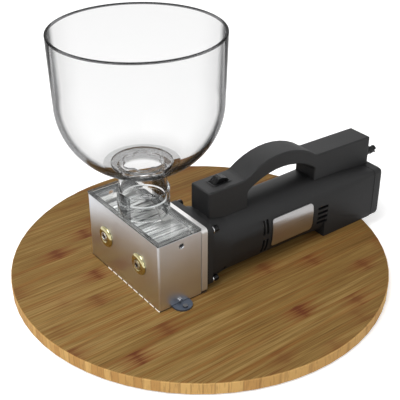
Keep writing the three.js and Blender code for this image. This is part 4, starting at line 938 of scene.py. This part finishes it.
def make_bush(node, centre_x, lift):
    dome = []
    for step in range(DOME_STEPS + 1):
        angle = math.pi / 2 * step / DOME_STEPS
        dome.append((
            DOME_INNER + (DOME_OUTER - DOME_INNER) * math.sin(angle),
            BUSH_SEAT + (BUSH_FRONT - BUSH_SEAT) * math.cos(angle), 0.0))
    outline = [
        (BUSH_BORE, BUSH_FRONT + 1.2, lift), (BUSH_BORE + 0.6, BUSH_FRONT + 0.25, lift), *dome,
        (SLEEVE_RADIUS, BUSH_SEAT, 0.0), (SLEEVE_RADIUS, BUSH_END, 0.0),
        (BUSH_BORE, BUSH_END, lift)]
    piece = turned(node + "_turned", outline, (centre_x, AXIS_Z), "Y", 96)
    shade(piece, 50.0)
    fit(piece, node)


make_bush("drive_bush_front", DRIVE_X, 0.0)
make_bush("idler_bush_front", IDLER_X, IDLER_RISE)

# %% [markdown]
# ## Soft edges: the tools
#
# Sheet metal, plates and mouldings come from the CAD with knife edges. Real ones have a small
# radius that shows as a thin line of light. The CAD mesh is copied, its flat triangles are
# joined into whole faces, and a narrow bevel is cut. Weighted normals keep flat faces flat.

# %% Copy a node and round its edges
SPLIT_X = DRIVE_X * MM


def close_split(bm):
    """Joins two halves that meet with a fine gap at the plane x = SPLIT_X."""
    seam = {vertex for vertex in bm.verts if abs(vertex.co.x - SPLIT_X) < MM / 5}
    for vertex in seam:
        vertex.co.x = SPLIT_X
    inner = [face for face in bm.faces if seam.issuperset(face.verts)]
    bmesh.ops.delete(bm, geom=inner, context="FACES_ONLY")
    bmesh.ops.remove_doubles(bm, verts=bm.verts, dist=MM / 50)


def merged_copy(nodes):
    """One mesh from a CAD node, or from halves that meet, with its flat triangles joined."""
    bm = bmesh.new()
    for node in nodes:
        bm.from_mesh(frame["nodes"][node].data)
    if len(nodes) > 1:
        close_split(bm)
    bmesh.ops.remove_doubles(bm, verts=bm.verts, dist=MM / 1000)
    bmesh.ops.dissolve_limit(
        bm, angle_limit=math.radians(0.4), verts=bm.verts, edges=bm.edges, delimit=set())
    return bm


def bent(edge, degrees):
    """True for an edge between two faces that meet at more than an angle."""
    return len(edge.link_faces) == 2 and edge.calc_face_angle(0.0) > math.radians(degrees)


def soften(bm, width, edges, segments=3, clamp=True):
    bmesh.ops.bevel(
        bm, geom=edges, offset=width * MM, offset_type="OFFSET", segments=segments, profile=0.5,
        affect="EDGES", clamp_overlap=clamp)


def dressed(bm, nodes, smooth=35.0):
    piece = make_object(nodes[0] + "_dressed", bm)
    shade(piece, smooth)
    weighted = piece.modifiers.new("flat_faces", "WEIGHTED_NORMAL")
    weighted.keep_sharp = True
    return fit(piece, *nodes)


print("edge tools ready")

# %% [markdown]
# ## Soft edges: the plain pieces
#
# Where two pieces meet flush, such as the housing and the motor body, their edges stay sharp,
# and a hairline gap of the CAD is closed by moving one face onto the other. Above the foot, the
# body's vents are too fine for a rounding, so its edges stay sharp there too.

# %% Soften the plain pieces
FAR, FOOT_TOP = 1.0, 0.0255
SOFT_EDGES = {  # width of the rounding in mm
    "mill_shell": 0.35, "back_plate": 2.4, "front_bearing_plate": 0.4, "switch_body": 0.3,
    "label_plate": 0.35, "cord_gland": 0.25, "mounting_lug_right": 0.4,
    "mounting_lug_left": 0.4, "lug_side_screw_1": 0.3, "lug_side_screw_2": 0.3,
    "lug_board_screw_1": 0.3, "lug_board_screw_2": 0.3,
}
FLUSH_FACES = {  # axis, the stretch of it that a flat face lies in, and where that face goes
    "motor_body": (1, -FAR, 0.0005, 0.00002), "end_plate": (1, -FAR, 0.2032, 0.20272),
    "base_gasket": (2, 0.0145, FAR, 0.01505),
}


def softened(node, width, start=-FAR, end=FAR, top=FAR):
    """A copy of a CAD node with narrow rounded edges, width in mm.

    Edges that lie wholly before start or after end along Y, or above the top, stay sharp.
    """
    bm = merged_copy([node])
    if node in FLUSH_FACES:
        axis, low, high, goal = FLUSH_FACES[node]
        for vertex in bm.verts:
            if low < vertex.co[axis] < high:
                vertex.co[axis] = goal
    edges = [
        edge for edge in bm.edges
        if bent(edge, 35.0) and any(start < vertex.co.y < end for vertex in edge.verts)
        and all(vertex.co.z < top for vertex in edge.verts)]
    soften(bm, width, edges)
    dressed(bm, [node])


for node, width in SOFT_EDGES.items():
    softened(node, width)
softened("gear_housing", 0.7, end=-0.0005)
softened("motor_body", 0.4, 0.001, 0.2025, FOOT_TOP)
softened("end_plate", 1.0, start=0.2030)
softened("base_gasket", 0.1)

# %% [markdown]
# ## The shafts
#
# Each roller's shaft ends in its front bush, with a small socket for a key. The CAD mesh has
# that socket already. Its faces get a dark finish, chosen by their place, as painted shade in
# the hollow.

# %% Dress the shafts
SHAFT_AXES = {
    "drive_shaft": Vector((DRIVE_X, AXIS_Z)) * MM,
    "idler_shaft": Vector((IDLER_X, AXIS_Z + IDLER_RISE)) * MM,
}
SOCKET_RADIUS = 0.0032
SOCKET_MOUTH, SOCKET_FLOOR = -0.0955, -0.08


def make_shaft(node):
    bm = merged_copy([node])
    soften(bm, 0.5, [edge for edge in bm.edges if bent(edge, 35.0)])
    piece = dressed(bm, [node])
    # painted shade: the faces inside the key socket take the dark socket steel
    paint(piece, shaded_socket_steel, lambda place: (
        (Vector((place.x, place.z)) - SHAFT_AXES[node]).length < SOCKET_RADIUS
        and SOCKET_MOUTH < place.y < SOCKET_FLOOR))


for node in SHAFT_AXES:
    make_shaft(node)

# %% [markdown]
# ## The handle
#
# The CAD handle is two halves. A moulded handle reads as one form, so they are joined at the
# plane where they meet. The arch then flows into the blocks by a wide fillet, and the long
# outer edges are rounded, round both sides and across the ends.

# %% Join and round the handle
HANDLE_HALF = 0.015
HANDLE_EDGE, HANDLE_FILLET = 2.0, 2.8
HANDLE_SCREWS = ((0.0233, 0.102), (0.1423, 0.096))
SCREW_RECESS = 0.004
HANDLE_FOOT = 0.09


def is_crossing(edge):
    """True for an edge that runs straight across from a side to the middle or beyond."""
    a, b = (vertex.co for vertex in edge.verts)
    return abs(a.x - b.x) > 0.99 * HANDLE_HALF and math.hypot(a.y - b.y, a.z - b.z) < MM / 50


def is_rim(edge):
    """True for an edge round a side: not in a screw's recess and not at the handle's foot."""
    on_side = all(abs(vertex.co.x - SPLIT_X) > HANDLE_HALF - MM / 50 for vertex in edge.verts)
    middle = (edge.verts[0].co + edge.verts[1].co) / 2
    at_screw = any(
        math.hypot(middle.y - y, middle.z - z) < SCREW_RECESS for y, z in HANDLE_SCREWS)
    tilt = min((face.normal for face in edge.link_faces), key=lambda normal: abs(normal.x))
    at_foot = tilt.z < -0.5 and middle.z < HANDLE_FOOT
    return on_side and abs(tilt.x) < 0.5 and not at_screw and not at_foot


def make_handle():
    halves = ["handle_left", "handle_right"]
    bm = merged_copy(halves)
    inner = [
        edge for edge in bm.edges
        if bent(edge, 12.0) and is_crossing(edge) and not edge.is_convex]
    soften(bm, HANDLE_FILLET, inner, 8, False)
    rims = [
        edge for edge in bm.edges
        if bent(edge, 40.0) and edge.is_convex and (is_crossing(edge) or is_rim(edge))]
    soften(bm, HANDLE_EDGE, rims, 5, False)
    print("handle:", len(inner), "fillets and", len(rims), "rounded edges")
    dressed(bm, halves, 40.0)


make_handle()

# %% [markdown]
# ## The rocker
#
# The rocker is one section, extruded across the switch. Its top rises to a ridge over the
# pivot, and it lies tilted to one side.

# %% Build the rocker
ROCKER_PIVOT = (DRIVE_X, 4.8, 111.6)
ROCKER_TILT, ROCKER_HALF = 10.0, 4.8
ROCKER_SECTION = (
    (-8.6, -1.1, 0.3), (-4.3, -2.2, 0.5), (4.3, -2.2, 0.5), (8.6, -1.1, 0.3), (8.6, 2.8, 1.0),
    (1.8, 6.6, 1.4), (-1.8, 6.6, 1.4), (-8.6, 2.8, 1.0))


def make_rocker():
    outline = rounded(ROCKER_SECTION)
    bm = bmesh.new()
    sides = []
    for x in (-ROCKER_HALF, ROCKER_HALF):
        ring = [bm.verts.new(Vector((x, *point)) * MM) for point in outline]
        sides.append(ring)
        bm.faces.new(ring)
    for index in range(len(outline)):
        after = (index + 1) % len(outline)
        bm.faces.new((sides[0][index], sides[0][after], sides[1][after], sides[1][index]))
    tilt = Matrix.Rotation(math.radians(ROCKER_TILT), 3, "X")
    bmesh.ops.rotate(bm, verts=bm.verts, matrix=tilt)
    bmesh.ops.translate(bm, verts=bm.verts, vec=Vector(ROCKER_PIVOT) * MM)
    bmesh.ops.recalc_face_normals(bm, faces=bm.faces)
    soften(bm, 0.5, [edge for edge in bm.edges if bent(edge, 60.0)])
    dressed(bm, ["switch_rocker"])


make_rocker()

# %% [markdown]
# ## The flange screws
#
# Four black socket screws with a bright washer under each head hold the motor to the mill box.
# Each one is turned in one piece, and the faces behind the washer take the black material.

# %% Turn the flange screws
SCREW_OUT, SCREW_UP = 30.2, 29.3
SHANK_RADIUS, HEAD_RADIUS, WASHER_RADIUS, SOCKET_HALF = 2.0, 3.5, 4.1, 1.9
SHANK_Y, WASHER_Y, WASHER_THICK, HEAD_REAR, SOCKET_DEPTH = -41.7, -27.0, 1.2, -19.5, 3.0


def make_flange_screw(index, side_x, side_z):
    node = f"flange_screw_{index}"
    washer_rear, socket_floor = WASHER_Y + WASHER_THICK, HEAD_REAR - SOCKET_DEPTH
    outline = rounded([
        (0.01, SHANK_Y, 0), (SHANK_RADIUS, SHANK_Y, 0.2), (SHANK_RADIUS, WASHER_Y, 0.0),
        (WASHER_RADIUS, WASHER_Y, 0.2), (WASHER_RADIUS, washer_rear, 0.4),
        (HEAD_RADIUS, washer_rear, 0.0), (HEAD_RADIUS, HEAD_REAR, 0.6),
        (SOCKET_HALF, HEAD_REAR, 0.2), (SOCKET_HALF, socket_floor, 0.0),
        (0.01, socket_floor, 0)], 3)
    place = (DRIVE_X + side_x * SCREW_OUT, AXIS_Z + side_z * SCREW_UP)
    piece = turned(node + "_turned", outline, place, "Y", 48)
    shade(piece, 40.0)
    fit(piece, node)
    paint(piece, switch_plastic, lambda place: place.y > (washer_rear - 0.05) * MM)


for index, corner in enumerate(CORNERS):
    make_flange_screw(index + 1, *corner)

# %% [markdown]
# ## The floor
#
# The photograph has a white ground with no horizon. A wide white floor catches the shadow. To
# the camera, to gloss and through glass it also glows a little, so that it clips to white. Far
# off, where the lamps don't reach, the glow grows and hides the horizon.

# %% Build the floor
FLOOR_SIZE, FLOOR_DROP = 6.0, 0.0004
GLOW_NEAR, GLOW_FAR = 0.45, 1.3
FLOOR_FADE = (1.5, 3.5)  # metres from the middle
MIRRORED_GLOW = 0.4  # of the glow, in reflections and through glass

paper = Finish("floor_paper", base_color=(0.86, 0.86, 0.86), roughness=0.9, specular=0.1)
seen = paper.ray("Camera")
for kind in ("Transmission", "Glossy"):
    seen = seen.math("MAXIMUM", paper.ray(kind) * MIRRORED_GLOW)
x, y, z = paper.axes()
near, far = FLOOR_FADE
distant = (x * x + y * y).step(near ** 2, far ** 2)
near_white = (GLOW_NEAR / GLOW_FAR,) * 3
glow = paper.node("ShaderNodeEmission", {}, {
    "Color": paper.mix(distant, near_white, (1.0, 1.0, 1.0)), "Strength": seen * GLOW_FAR})
paper.join("ShaderNodeAddShader", 0, {1: glow})

bm = bmesh.new()
bmesh.ops.create_grid(bm, x_segments=1, y_segments=1, size=FLOOR_SIZE)
floor = make_object("floor_paper", bm)
floor.location.z = -FLOOR_DROP
floor.data.materials.append(paper.material)
print("floor", tuple(floor.dimensions))

# %% [markdown]
# ## The light
#
# The world is an even pale room, white to the camera and through glass, and partly so in
# reflections. Four soft lamps shape the object: a large one above the front, one behind that
# draws the handle's top and the cover, one at the right and a weak one in front.

# %% Light the room
WORLD_STRENGTH = 0.40
GLOSS_SHARE = 0.4  # of the way from that strength to full white, for reflections
LAMPS = {  # place, what it points at, size in metres, power in watts
    "top_lamp": ((0.1, -0.85, 1.7), (0.0, -0.05, 0.05), 1.2, 24.0),
    "back_lamp": ((-1.3, 1.0, 1.0), (0.0, 0.05, 0.08), 1.2, 4.8),
    "side_lamp": ((1.4, 1.1, 0.9), (0.0, 0.05, 0.08), 1.0, 4.0),
    "front_lamp": ((1.1, -1.3, 0.55), (0.0, -0.1, 0.05), 0.7, 3.5),
}


def make_lamp(name, place, target, size, power):
    data = bpy.data.lights.new(name, "AREA")
    data.shape = "DISK"
    data.size = size
    data.energy = power
    lamp = add_object(name, data)
    lamp.location = place
    aim = Vector(target) - Vector(place)
    lamp.rotation_euler = aim.to_track_quat("-Z", "Y").to_euler()
    return lamp


world = bpy.data.worlds.new("pale_room")
bpy.context.scene.world = world
world.use_nodes = True
sky = NodeTree(world.node_tree)
seen = sky.ray("Camera").math("MAXIMUM", sky.ray("Transmission"))
strength = sky.node("ShaderNodeMapRange", {}, {
    "Value": seen + sky.ray("Glossy") * GLOSS_SHARE, "To Min": WORLD_STRENGTH, "To Max": 1.0})
background = sky.nodes["Background"]
sky.feed(background.inputs["Color"], (1.0, 1.0, 1.0))
sky.feed(background.inputs["Strength"], strength)
lamps = [make_lamp(name, *settings) for name, settings in LAMPS.items()]
bpy.context.scene.view_settings.view_transform = "Standard"
print("world and", len(lamps), "lamps")

# %% [markdown]
# ## Close
#
# The view layer is updated once more, so every piece is in its place.

# %% Update the view layer
bpy.context.view_layer.update()
